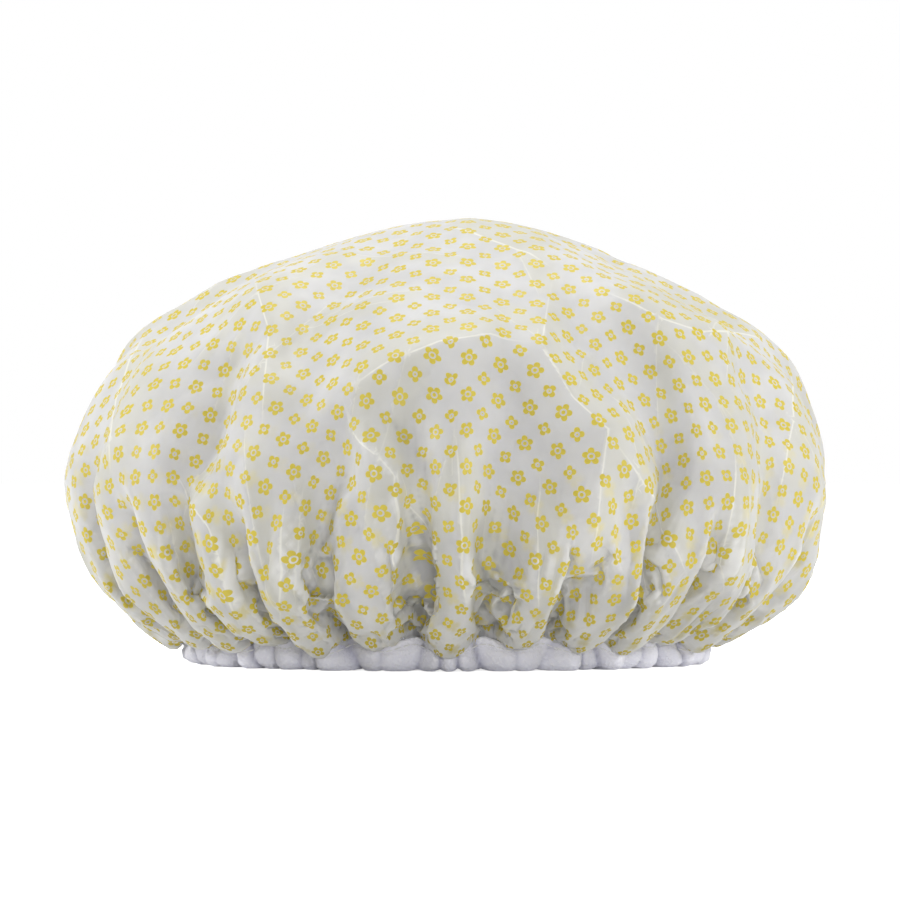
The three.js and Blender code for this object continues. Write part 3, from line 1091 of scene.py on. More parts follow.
@dataclass(frozen=True)
class TerryFinish:
    """White terry with a short looped pile, with painted shade in its hollows and creases."""

    name: str
    # Painted shade in the hollows between tufts; the crest colour is the lit pile.
    hollow: tuple[float, ...] = (0.80, 0.80, 0.91, 1)
    crest: tuple[float, ...] = (0.93, 0.93, 0.99, 1)
    # Painted shade in the creases between the binding's lobes.
    fold: tuple[float, ...] = (0.46, 0.46, 0.58, 1)
    tufts: float = 0.8
    strength: float = 0.8
    pile_height: float = 0.0007
    roughness: tuple[float, float] = (0.98, 0.86)
    shine: float = 0.2
    sheen: float = 0.35
    sheen_roughness: float = 0.45

    def material(self, pile: bpy.types.NodeTree) -> bpy.types.Material:
        """Builds the finish.

        Args:
            pile: the group that gives the pile's height and shade.

        Returns:
            The material.
        """
        material, draw, surface = new_material(self.name)
        loops = draw.group(pile, Place=draw.millimetres(), Tufts=self.tufts).outputs
        # The pile's painted shade between tufts.
        tone = draw.colour(loops["Shade"], self.hollow, self.crest)
        # Painted shade in the creases between the lobes.
        folded = draw.spread(draw.attribute("fold"), 0.1, 0.9)
        draw.dress(
            surface,
            {
                "Base Color": draw.colour(folded, tone, self.fold),
                "Roughness": draw.spread(loops["Height"], 0.0, 1.0, *self.roughness),
                "Specular IOR Level": self.shine,
                "Sheen Weight": self.sheen,
                "Sheen Roughness": self.sheen_roughness,
                "Normal": draw.bump(loops["Height"], self.strength, self.pile_height),
            },
        )
        return material


@dataclass(frozen=True)
class ElasticFinish:
    """White braided elastic with ribs along it, and painted shade in the grooves between them."""

    name: str = "braided_elastic"
    rib: tuple[float, ...] = (0.86, 0.86, 0.84, 1)
    # Painted shade in the grooves between the ribs.
    groove_painted_shade: tuple[float, ...] = (0.62, 0.62, 0.61, 1)
    ribs_per_mm: float = 0.85
    rib_height: float = 0.0003
    strength: float = 0.6
    fibres: float = 2.4
    fibre_share: float = 0.35
    roughness: tuple[float, float] = (0.85, 0.7)

    def material(self) -> bpy.types.Material:
        """Builds the finish."""
        material, draw, surface = new_material(self.name)
        place = draw.millimetres()
        turn = draw.math("MULTIPLY", draw.part(place, "Z"), FULL_TURN * self.ribs_per_mm)
        wave = draw.math("MULTIPLY_ADD", draw.math("SINE", turn), 0.5, 0.5)
        fibre = draw.math("MULTIPLY", draw.noise(place, self.fibres), self.fibre_share)
        height = draw.math("MULTIPLY_ADD", wave, 1 - self.fibre_share, fibre)
        draw.dress(
            surface,
            {
                # Painted shade in the grooves, mixed with a random fibre tone.
                "Base Color": draw.colour(height, self.groove_painted_shade, self.rib),
                "Roughness": draw.spread(height, 0.0, 1.0, *self.roughness),
                "Normal": draw.bump(height, self.strength, self.rib_height),
            },
        )
        return material


@dataclass(frozen=True)
class ThreadFinish:
    """White sewing thread with a twist, and painted shade between the twists."""

    name: str = "sewing_thread"
    light: tuple[float, ...] = (0.90, 0.90, 0.92, 1)
    # Painted shade between the twists.
    painted_twist_shade: tuple[float, ...] = (0.66, 0.66, 0.70, 1)
    twists: float = 1.6
    stray: float = 1.5
    twist_height: float = 0.0001
    strength: float = 0.5
    roughness: tuple[float, float] = (0.7, 0.5)
    sheen: float = 0.2

    def material(self) -> bpy.types.Material:
        """Builds the finish."""
        material, draw, surface = new_material(self.name)
        twist = draw.add("ShaderNodeTexWave", wave_type="BANDS", bands_direction="DIAGONAL")
        draw.dress(twist, {"Vector": draw.millimetres(), "Scale": self.twists, "Distortion": self.stray})
        height = twist.outputs["Fac"]
        draw.dress(
            surface,
            {
                # Painted shade between the twists.
                "Base Color": draw.colour(height, self.painted_twist_shade, self.light),
                "Roughness": draw.spread(height, 0.0, 1.0, *self.roughness),
                "Sheen Weight": self.sheen,
                "Normal": draw.bump(height, self.strength, self.twist_height),
            },
        )
        return material


@dataclass
class SoftReach:
    """Where the hem's stretch is taken up, between the front that stays and the back that moves."""

    start: tuple[float, float, float] = (0.0, 0.0, 0.02)
    end: tuple[float, float, float] = (0.0, 0.092, -0.02)

    def attach(self, piece: bpy.types.Object, node: str) -> None:
        """Puts a soft piece on the cap's body, in a CAD node's place.

        Args:
            piece: the soft piece, finished.
            node: the CAD node that it stands for.
        """
        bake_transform(piece)
        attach(piece, Body.CAP.value)
        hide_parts(node)


@dataclass
class FilmShell:
    """The printed film: a flat round, gathered and settled over the puffed body."""

    plan: GatherPlan
    hem: HemSizes
    outline: CapOutline
    view: PhotoView
    settling: Settling = field(default_factory=Settling)
    creases: FineCreases = field(default_factory=FineCreases)
    cut_radius: float = 0.2834
    rings: int = 88
    turned_from: float = 0.14
    turned_by: float = 2.6
    fold_share: float = 0.8
    tongue_drop: float = 0.0068
    notch_lift: float = 0.004
    swerve_from: tuple[float, float] = (0.06, 0.20)
    gathers_from: tuple[float, float] = (0.165, 0.235)
    broad_until: tuple[float, float] = (0.120, 0.180)
    wave_shifts: tuple[float, float] = (0.9, 0.4)
    wave_vary: float = 0.25
    wave_varies: int = 3
    most_swing: float = 2.2
    swing_steps: int = 400
    swing_batches: int = 80
    wave_steps: int = 64
    slope_step: float = 0.007
    tuck: tuple[float, float] = (0.007, 0.027)
    flare: tuple[float, float] = (0.025, 0.060)
    hang: tuple[float, float] = (0.027, 0.053)
    hang_foot: tuple[float, float] = (0.0045, 0.011)
    pinned: float = 0.0105
    rim_hold: tuple[float, float] = (0.011, 0.030)
    crown_hold: tuple[float, float] = (0.02, 0.08)
    limp_from: tuple[float, float] = (0.16, 0.22)
    front_limit: float = 0.03
    front_fade: tuple[float, float] = (0.02, -0.02)
    hem_fade: tuple[float, float] = (0.012, 0.030)
    crest_width: float = 0.003
    fair_passes: int = 14
    fair_share: float = 0.5
    fair_from: tuple[float, float] = (0.045, 0.095)
    sharpened: float = 0.6
    crease_depth: float = 0.0006
    # Where the painted highlight lines beside the raised creases go.
    painted_line_reach: float = 0.008
    painted_line_near: float = 0.0016
    painted_line_full: float = 0.0018

    def _cut(self) -> tuple[bpy.types.Mesh, np.ndarray, np.ndarray]:
        """The flat round in even triangles, as a mesh with each point's radius and turn."""
        work = bmesh.new()
        bmesh.ops.create_circle(work, cap_ends=True, cap_tris=True, segments=6, radius=1.0)
        bmesh.ops.subdivide_edges(
            work, edges=work.edges[:], cuts=self.rings - 1, use_grid_fill=True
        )
        mesh = mesh_of(work, "film_cut")
        points = points_of(mesh)
        reach = np.hypot(points[:, 0], points[:, 1])
        angle = np.arctan2(points[:, 1], points[:, 0])
        sixth, half_sixth = FULL_TURN / 6, FULL_TURN / 12
        from_corner = (angle - angle[np.argmax(reach)]) % FULL_TURN
        sector = np.floor(from_corner / sixth + 1e-9)
        off_middle = from_corner - sector * sixth - half_sixth
        radius = reach * np.cos(off_middle) / math.cos(half_sixth) * self.cut_radius
        along_side = 0.5 + np.tan(off_middle) / (2 * math.tan(half_sixth))
        turn = np.where(reach > 1e-9, (sector + along_side) * sixth, 0.0)
        return mesh, radius, turn

    def _spare_radius(self, radius: np.ndarray) -> np.ndarray:
        """The length round the film at a radius of the cut, as a radius, with fine pleats left out."""
        curl = self.turned_by / (self.cut_radius - self.turned_from)
        past = np.maximum(radius - self.turned_from, 0)
        return np.where(radius < self.turned_from, radius, self.turned_from + np.sin(curl * past) / curl)

    def _relaxed(self, radius: np.ndarray, turn: np.ndarray) -> np.ndarray:
        """The film at its true lengths, as a round bowl."""
        step = self.cut_radius / self.rings
        ring = np.round(radius / step).astype(int)
        rounds = self._spare_radius(np.arange(self.rings + 1) * step)
        falls = np.sqrt(np.clip(step**2 - np.diff(rounds) ** 2, 0, None))
        heights = -np.concatenate([[0], np.cumsum(falls)])
        return around(turn, rounds[ring], heights[ring])

    def _meander(self, spare: np.ndarray, phase: np.ndarray) -> tuple[np.ndarray, np.ndarray]:
        """A winding line that takes up spare length, over a wave of one full turn.

        Args:
            spare: how much longer than its span the line is, as a share.
            phase: how far along the wave each point is.

        Returns:
            How far each point lies along and out from an even, straight run.
        """
        swings = np.linspace(0, self.most_swing, self.swing_steps)
        wave = np.linspace(0, FULL_TURN, self.wave_steps + 1)
        spans = np.array([np.mean(np.cos(swing * np.sin(wave[:-1]))) for swing in swings])
        swing = np.interp(-1 / (1 + spare), -spans, swings)
        along, out = np.zeros_like(phase), np.zeros_like(phase)
        within = np.mod(phase, FULL_TURN)
        for some in np.array_split(np.argsort(swing), self.swing_batches):
            slope = -swing[some].mean() * np.sin(wave)
            rise, run = (
                np.concatenate([[0], np.cumsum((part[1:] + part[:-1]) / 2 * np.diff(wave))])
                for part in (np.sin(slope), np.cos(slope))
            )
            rise = rise - (rise.max() + rise.min()) / 2
            out[some] = np.interp(within[some], wave, rise)
            along[some] = np.interp(within[some], wave, run - wave * run[-1] / FULL_TURN)
        return along, out

    def _gathered(self, radius: np.ndarray, turn: np.ndarray) -> tuple[np.ndarray, np.ndarray]:
        """Where the film is carried to before it settles, and how near each point is to a crest."""
        bearing = turn + (self.plan.bearing(turn) - turn) * ease(*self.swerve_from, radius)
        share = radius / self.cut_radius
        body_radius, height = self.outline.place(share, bearing)
        before = self.outline.place(share - self.slope_step, bearing)
        after = self.outline.place(share + self.slope_step, bearing)
        run = np.stack([after[0] - before[0], after[1] - before[1]])
        run = run / (np.linalg.norm(run, axis=0) + 1e-12)
        out_across, out_up = -run[1], run[0]
        rounds = self._spare_radius(radius)
        spare = np.clip(rounds / np.maximum(body_radius, 1e-4) - 1, 0, None)
        low, high = ease(*self.gathers_from, radius), 1 - ease(*self.broad_until, radius)
        lift, slide = np.zeros_like(radius), np.zeros_like(radius)
        count = self.plan.count
        middle_shift, broad_shift = self.wave_shifts
        waves = (
            (count, low, 0.0, 0.0),
            (count // 2, (1 - low) * (1 - high), middle_shift, self.wave_vary),
            (count // 4, (1 - low) * high, broad_shift, self.wave_vary),
        )
        for number, part, shift, vary in waves:
            uneven = 1 + vary * np.sin(self.wave_varies * turn + number)
            along, out = self._meander(spare * part * uneven, number * turn + shift)
            lift += out * rounds / number
            slide += along * rounds / number
        folds, crest = self._front_folds(around(bearing, body_radius, height))
        lift += self.fold_share * folds
        from_rim = self.cut_radius - radius
        tucked = 1 - ease(*self.tuck, from_rim)
        flat_out = 1 - ease(*self.flare, from_rim)
        out_across, out_up = out_across + (1 - out_across) * flat_out, out_up * (1 - flat_out)
        rise = self.plan.rise(turn)
        hem_radius = self.hem.film_radius + self.hem.gather_out * rise
        drop = self.notch_lift * (1 - rise) - self.tongue_drop * rise
        loose = body_radius + out_across * lift
        hanging = (1 - ease(*self.hang, from_rim)) * ease(*self.hang_foot, from_rim)
        points = around(
            bearing + slide / np.maximum(body_radius, 1e-3) * (1 - tucked),
            loose + (hem_radius + np.maximum(body_radius - self.outline.rim_radius, 0) - loose) * tucked,
            height + out_up * lift + drop * hanging,
        )
        return points, crest

    def _front_folds(self, body: np.ndarray) -> tuple[np.ndarray, np.ndarray]:
        """How far the front folds lift each point of the body, and how near it is to a crest."""
        seen = self.view.seen(body)
        on_front = body[:, 1] < self.front_limit
        lift, crest = np.zeros(len(body)), np.zeros(len(body))
        for fold in FRONT_FOLDS:
            gap = fold.distance(self.view, seen)
            lift += fold.shape(gap) * on_front
            if fold.kind is FoldKind.CREST:
                crest = np.maximum(crest, np.exp(-((gap / self.crest_width) ** 2)) * on_front)
        return lift, crest

    def settle(self) -> bpy.types.Mesh:
        """Cuts, gathers and settles the film.

        Returns:
            The film's mesh, with a print map of the flat round.
        """
        mesh, radius, turn = self._cut()
        set_points(mesh, self._relaxed(radius, turn))
        gathered, crest = self._gathered(radius, turn)
        way = self.settling
        hold = np.maximum(way.hold_everywhere, way.hold_crests * crest)
        from_rim = self.cut_radius - radius
        hold = np.maximum(hold, way.hold_hem * (1 - ease(*self.rim_hold, from_rim)))
        hold = np.maximum(hold, way.hold_crown * (1 - ease(*self.crown_hold, radius)))
        hold = np.where(from_rim < self.pinned, 1.0, hold)
        stiff = 1 - ease(*self.limp_from, radius)
        points = way.run(mesh, gathered, hold, stiff)
        set_points(mesh, points)
        self._fair(mesh)
        self._sink(mesh)
        flat = around(turn, radius, np.zeros_like(turn))[:, :2] / (2 * self.cut_radius) + 0.5
        layer = mesh.uv_layers.new(name=PRINT_MAP)
        layer.data.foreach_set("uv", flat[corners_of(mesh)].astype(np.float32).ravel())
        return mesh

    def build(self, settled: bpy.types.Mesh, finish: FilmFinish, reach: SoftReach) -> bpy.types.Object:
        """Smooths the settled film and dresses it.

        Args:
            settled: the settled mesh, which is kept as it is.
            finish: the film's finish.
            reach: puts soft pieces on the cap's body.

        Returns:
            The film.
        """
        work = bmesh.new()
        work.from_mesh(settled)
        bmesh.ops.subdivide_edges(work, edges=work.edges[:], cuts=1, use_grid_fill=True, smooth=1.0)
        mesh = mesh_of(work, "film")
        self._crisp(mesh)
        self._mark_creases(mesh)
        film = new_piece("film", mesh, finish.material(self.cut_radius))
        reach.attach(film, "film_shell")
        return film

    def _fair(self, mesh: bpy.types.Mesh) -> None:
        """Irons the small crumples out of the settled film, more and more from the hem upwards."""
        work = bmesh.new()
        work.from_mesh(mesh)
        heights = np.array([vert.co.z for vert in work.verts])
        for floor in np.linspace(*self.fair_from, self.fair_passes):
            verts = [vert for vert, height in zip(work.verts, heights) if height > floor]
            smooth(work, verts, self.fair_share)
        work.to_mesh(mesh)
        work.free()

    def _sink(self, mesh: bpy.types.Mesh) -> None:
        """Sinks the front hollows again, once the film is ironed."""
        points = points_of(mesh)
        out = normals_of(mesh)
        seen = self.view.seen(points)
        lift = np.zeros(len(points))
        for fold in FRONT_FOLDS:
            if fold.kind is FoldKind.HOLLOW:
                lift += self.sharpened * fold.shape(fold.distance(self.view, seen))
        lift *= ease(*self.front_fade, points[:, 1]) * ease(*self.hem_fade, points[:, 2])
        set_points(mesh, points + out * lift[:, None])

    def _crisp(self, mesh: bpy.types.Mesh) -> None:
        """Raises the folds again as flat flanks that meet in sharp edges, and adds the fine creases."""
        points = points_of(mesh)
        out = normals_of(mesh)
        seen = self.view.seen(points)
        on_front = ease(*self.front_fade, points[:, 1])
        lines = []
        for fold in FRONT_FOLDS:
            line = fold.line(self.view, seen)
            height = self.sharpened * line.height
            lines.append(CreaseLine(line.gap, line.ends * on_front, height, line.width))
        flat = rows_of(mesh.uv_layers[PRINT_MAP].data, "uv", 2)
        cut = np.empty((len(points), 2))
        cut[corners_of(mesh)] = (flat - 0.5) * 2 * self.cut_radius
        lines += self.creases.lines(cut)
        lift = sum(line.lift() for line in lines) * ease(*self.hem_fade, points[:, 2])
        set_points(mesh, points + out * lift[:, None])
        self._mark_lines(mesh, [line for line in lines if line.height > 0])

    def _mark_lines(self, mesh: bpy.types.Mesh, lines: list[CreaseLine]) -> None:
        """Stores how far each point lies from the nearest raised crease, for the painted highlight lines,
        and where painted shade goes as of film lying double.
        """
        nearest = np.full(len(mesh.vertices), self.painted_line_reach)
        strength, doubled = np.zeros(len(nearest)), np.zeros(len(nearest))
        for line in lines:
            closer = (np.abs(line.gap) < np.abs(nearest)) & (line.ends > 0)
            nearest = np.where(closer, line.gap, nearest)
            # How strong the painted highlight line is near each raised crease.
            shown = line.ends * min(line.height / self.painted_line_full, 1) * (np.abs(line.gap) < self.painted_line_near)
            strength = np.where(closer, shown, strength)
            doubled = np.maximum(doubled, line.doubled())
        # The painted highlight lines and the painted shade beside the creases read these.
        for name, values in (("edge_gap", nearest / MM), ("edge", strength), ("doubled", doubled)):
            store(mesh, name, values)

    def _mark_creases(self, mesh: bpy.types.Mesh) -> None:
        """Stores how sharply the film bends at each point, up to 1 on a crest and down to -1 in a valley,
        for the painted highlight on crests and the painted shade in valleys.
        """
        points = points_of(mesh)
        first, second = rows_of(mesh.edges, "vertices", 2, int).T
        total, number = np.zeros_like(points), np.zeros(len(points))
        for here, there in ((first, second), (second, first)):
            np.add.at(total, here, points[there])
            np.add.at(number, here, 1)
        out = normals_of(mesh)
        bend = ((points - total / number[:, None]) * out).sum(1) / self.crease_depth
        store(mesh, "crease", np.clip(bend, -1, 1))


@dataclass
class TerryLining:
    """The terry round behind the film, softer in its folds."""

    hem: HemSizes
    gap: float = 0.0022
    belly_gap: float = 0.007
    belly_from: tuple[float, float] = (0.03, 0.065)
    belly_until: tuple[float, float] = (0.095, 0.15)
    tuck_slack: float = 0.001
    hem_gap: float = 0.0005
    thickness: float = 0.0015
    passes: int = 5
    firmness: float = 0.5
    heart: tuple[float, float] = (0.07, 0.055)
    clearance: float = 0.005
    side_gap: float = 0.003

    def _draw_in(self, film: BVHTree, loose: list[bmesh.types.BMVert]) -> None:
        """Draws points that come too near the film back inside it, towards the heart of the cap.

        Args:
            film: the settled film.
            loose: the lining's points that may move.
        """
        for vert in loose:
            flat = Vector((vert.co.x, vert.co.y, 0))
            heart = flat.normalized() * min(self.heart[0], flat.length / 2) + Vector((0, 0, self.heart[1]))
            way = vert.co - heart
            far = film.ray_cast(heart, way.normalized(), way.length + self.clearance)[3]
            if far is not None:
                vert.co = heart + way.normalized() * (far - self.clearance)
            beside, _, _, apart = film.find_nearest(vert.co)
            if apart < self.side_gap:
                vert.co += (vert.co - beside).normalized() * (self.side_gap - apart)

    def build(
        self,
        settled: bpy.types.Mesh,
        finish: TerryFinish,
        pile: bpy.types.NodeTree,
        reach: SoftReach,
    ) -> bpy.types.Object:
        """Draws the lining up behind the settled film.

        Args:
            settled: the settled film.
            finish: the lining's finish.
            pile: the terry's node group.
            reach: puts soft pieces on the cap's body.

        Returns:
            The lining.
        """
        work = bmesh.new()
        work.from_mesh(settled)
        work.normal_update()
        work.verts.ensure_lookup_table()
        outside = BVHTree.FromBMesh(work)
        film = np.array([vert.co for vert in work.verts])
        out = np.array([vert.normal for vert in work.verts])
        tucked = film[:, 2] < self.hem.outer_top + self.tuck_slack
        most = self.hem.outer_face + self.hem.gather_out + self.tuck_slack
        tucked &= np.hypot(film[:, 0], film[:, 1]) < most
        belly = ease(*self.belly_from, film[:, 2]) * (1 - ease(*self.belly_until, film[:, 2]))
        gap = np.where(tucked, self.hem_gap, self.gap + (self.belly_gap - self.gap) * belly)[:, None]
        for vert, place in zip(work.verts, film - out * gap):
            vert.co = place
        loose = [vert for vert, held in zip(work.verts, tucked) if not held]
        for _ in range(self.passes):
            smooth(work, loose, self.firmness)
            now = np.array([vert.co for vert in work.verts])
            past = ((now - film) * out).sum(1, keepdims=True) + gap
            now = now - np.maximum(past, 0) * out
            for vert in loose:
                vert.co = now[vert.index]
        self._draw_in(outside, loose)
        mesh = mesh_of(work, "lining")
        lining = new_piece("lining_rough", mesh, finish.material(pile))
        wall = lining.modifiers.new("wall", "SOLIDIFY")
        wall.thickness = self.thickness
        wall.offset = -1
        wall.use_even_offset = False
        finished = new_piece("lining", settled_mesh(lining), mesh.materials[0])
        bpy.data.objects.remove(lining)
        reach.attach(finished, "terry_lining")
        return finished


@dataclass
class HemBinding:
    """The folded terry strip that closes the hem, with its gathers and its pile."""

    plan: GatherPlan
    hem: HemSizes
    steps_per_gather: int = 24
    bulge: float = 0.0014
    lobe: float = 0.0030
    lobe_roundness: float = 0.6
    lobe_wanders: tuple[tuple[float, int], ...] = ((1.3, 5), (0.8, 9), (0.5, 23))
    lobe_slant: float = 3.0
    lobe_slants: int = 13
    shallowest: float = 0.45
    bottom_lift: float = 0.0016
    seam_pull: float = 0.0007
    seam_width: float = 0.0013
    pile: float = 0.00028
    pile_size: float = 0.0014
    fine_pile: float = 0.45
    fine_share: float = 0.6
    stands_at: float = 0.0001
    foot_round: float = 0.0026
    edge_round: float = 0.0006
    side_cuts: tuple[tuple[float, int], ...] = ((0.009, 11), (0.004, 4))
    film_gap: float = 0.0003
    face_depth: float = 0.0006
    foot_height: float = 0.004
    skin: float = 0.0009
    hidden_above: float = 0.0008

    def _section(self, work: bmesh.types.BMesh) -> None:
        """Draws the strip's section in the plane of the front, with round corners."""
        hem = self.hem
        corners = [
            (hem.outer_face, 0.0),
            (hem.outer_face, hem.outer_top),
            (hem.outer_face - hem.leaf, hem.outer_top),
            (hem.outer_face - hem.leaf, hem.leaf),
            (hem.inner_face + hem.leaf, hem.leaf),
            (hem.inner_face + hem.leaf, hem.inner_top),
            (hem.inner_face, hem.inner_top),
            (hem.inner_face, 0.0),
        ]
        verts = [work.verts.new((0, -radius, height)) for radius, height in corners]
        work.faces.new(verts)
        feet, edges = (0, 7), (1, 2, 5, 6)
        for some, offset, segments in ((feet, self.foot_round, 5), (edges, self.edge_round, 3)):
            bmesh.ops.bevel(
                work,
                geom=[verts[index] for index in some],
                offset=offset,
                segments=segments,
                profile=0.5,
                affect="VERTICES",
                material=-1,
            )
        for least, cuts in self.side_cuts:
            long = [edge for edge in work.edges if edge.calc_length() > least]
            bmesh.ops.subdivide_edges(work, edges=long, cuts=cuts)

    def outer_top(self, rise: np.ndarray) -> np.ndarray:
        """The height of the outer leaf's edge where a gather stands out this far."""
        return self.hem.outer_top - self.hem.outer_dip * rise

    def crease(self, turn: np.ndarray, height: np.ndarray) -> np.ndarray:
        """How deep points lie in a crease between two lobes of the strip.

        Args:
            turn: how far round the ring each point is.
            height: its height on the plain ring.

        Returns:
            The depths, up to 1.
        """
        slanted = turn + self.lobe_slant * height * np.sin(self.lobe_slants * turn)
        phase = self.plan.count * slanted
        for swing, number in self.lobe_wanders:
            phase = phase + swing * np.sin(number * turn)
        deep = self.shallowest + (1 - self.shallowest) * (0.5 + 0.5 * np.sin(self.lobe_slants * turn + 1))
        return deep * (1 - np.abs(np.cos(phase)) ** self.lobe_roundness)

    def warp(self, turn: np.ndarray, radius: np.ndarray, height: np.ndarray) -> np.ndarray:
        """Gathers points of the plain ring.

        Args:
            turn: how far round the ring each point is.
            radius: its distance from the axis on the plain ring.
            height: its height on the plain ring.

        Returns:
            The gathered points.
        """
        hem = self.hem
        rise = self.plan.rise(turn)
        outer = ease(hem.inner_face + hem.leaf, hem.film_radius - self.film_gap, radius)
        top_share = self.outer_top(rise) / hem.outer_top
        up = height * (1 + (top_share - 1) * outer)
        crease = self.crease(turn, height)
        up = up + self.bottom_lift * crease * (1 - ease(0.0, self.foot_height, height))
        face = ease(hem.outer_face - self.face_depth, hem.outer_face, radius)
        belly = np.sin(math.pi * np.clip(height / hem.outer_top, 0, 1))
        seam_height = hem.outer_top - hem.seam_below_edge / np.maximum(top_share, 0.5)
        seam = (height - seam_height) / self.seam_width
        out = radius + rise * (hem.gather_out * outer - hem.gather_in * (1 - outer))
        out = out + face * (self.bulge * belly - self.seam_pull * np.exp(-(seam**2)))
        out = out - self.lobe * crease * outer
        return around(self.plan.bearing(turn), out, up)

    def build(
        self, finish: TerryFinish, pile: bpy.types.NodeTree, reach: SoftReach
    ) -> bpy.types.Object:
        """Spins the section into a ring, gathers it and raises its pile.

        Args:
            finish: the strip's finish.
            pile: the terry's node group.
            reach: puts soft pieces on the cap's body.

        Returns:
            The binding.
        """
        work = bmesh.new()
        self._section(work)
        bmesh.ops.delete(work, geom=work.faces[:], context="FACES_ONLY")
        spin_ring(work, self.plan.count, self.steps_per_gather)
        mesh = mesh_of(work, "binding")
        plain = points_of(mesh)
        turn, radius = axis_view(plain)
        set_points(mesh, self.warp(turn, radius, plain[:, 2]))
        self._raise_pile(mesh, plain)
        # Where the painted shade of the creases between the lobes goes.
        store(mesh, "fold", self.crease(turn, plain[:, 2]))
        binding = new_piece("binding", mesh, finish.material(pile))
        reach.attach(binding, "hem_binding")
        return binding

    def _raise_pile(self, mesh: bpy.types.Mesh, plain: np.ndarray) -> None:
        """Roughens the strip's outside with tufts."""
        places = points_of(mesh)
        out = normals_of(mesh)
        _, radius = axis_view(plain)
        hem = self.hem
        hidden = (radius < hem.outer_face - self.skin) & (radius > hem.inner_face + self.skin)
        outside = np.where(hidden & (plain[:, 2] > self.hidden_above), 0.0, 1.0)
        tufts, fine = (
            np.array([noise.noise(Vector(place) / size) for place in places])
            for size in (self.pile_size, self.pile_size * self.fine_pile)
        )
        lift = self.pile * (tufts + self.fine_share * fine) * outside
        raised = places + out * lift[:, None]
        raised[:, 2] = np.maximum(raised[:, 2], self.stands_at)
        set_points(mesh, raised)


@dataclass
class ElasticBand:
    """The flat elastic loop inside the hem."""

    plan: GatherPlan
    hem: HemSizes
    steps_per_gather: int = 12
    ripple: float = 0.00018
    ripples_per_gather: int = 3
    edge_round: float = 0.0003

    def build(self, finish: ElasticFinish, reach: SoftReach) -> bpy.types.Object:
        """Spins a flat section with round edges into a loop and ripples it.

        Args:
            finish: the elastic's finish.
            reach: puts soft pieces on the cap's body.

        Returns:
            The elastic.
        """
        hem = self.hem
        work = bmesh.new()
        middle = Matrix.Translation((0, -hem.elastic_radius, hem.elastic_foot + hem.elastic_width / 2))
        upright = Matrix.Rotation(math.pi / 2, 4, "Y")
        flat = Matrix.Diagonal((hem.elastic_width / 2, hem.elastic_thickness / 2, 1, 1))
        bmesh.ops.create_grid(work, x_segments=8, y_segments=1, size=1.0, matrix=middle @ upright @ flat)
        rim = [edge for edge in work.edges if edge.is_boundary]
        bmesh.ops.delete(work, geom=work.faces[:], context="FACES_ONLY")
        bmesh.ops.delete(work, geom=[edge for edge in work.edges if edge not in rim], context="EDGES")
        spin_ring(work, self.plan.count, self.steps_per_gather)
        mesh = mesh_of(work, "elastic")
        plain = points_of(mesh)
        turn, radius = axis_view(plain)
        radius = radius + self.ripple * np.cos(self.plan.count * self.ripples_per_gather * turn)
        set_points(mesh, around(turn, radius, plain[:, 2]))
        band = new_piece("elastic", mesh, finish.material())
        edges = band.modifiers.new("edges", "BEVEL")
        edges.width, edges.segments, edges.limit_method = self.edge_round, 2, "ANGLE"
        band.data = settled_mesh(band)
        band.modifiers.clear()
        reach.attach(band, "elastic_band")
        return band


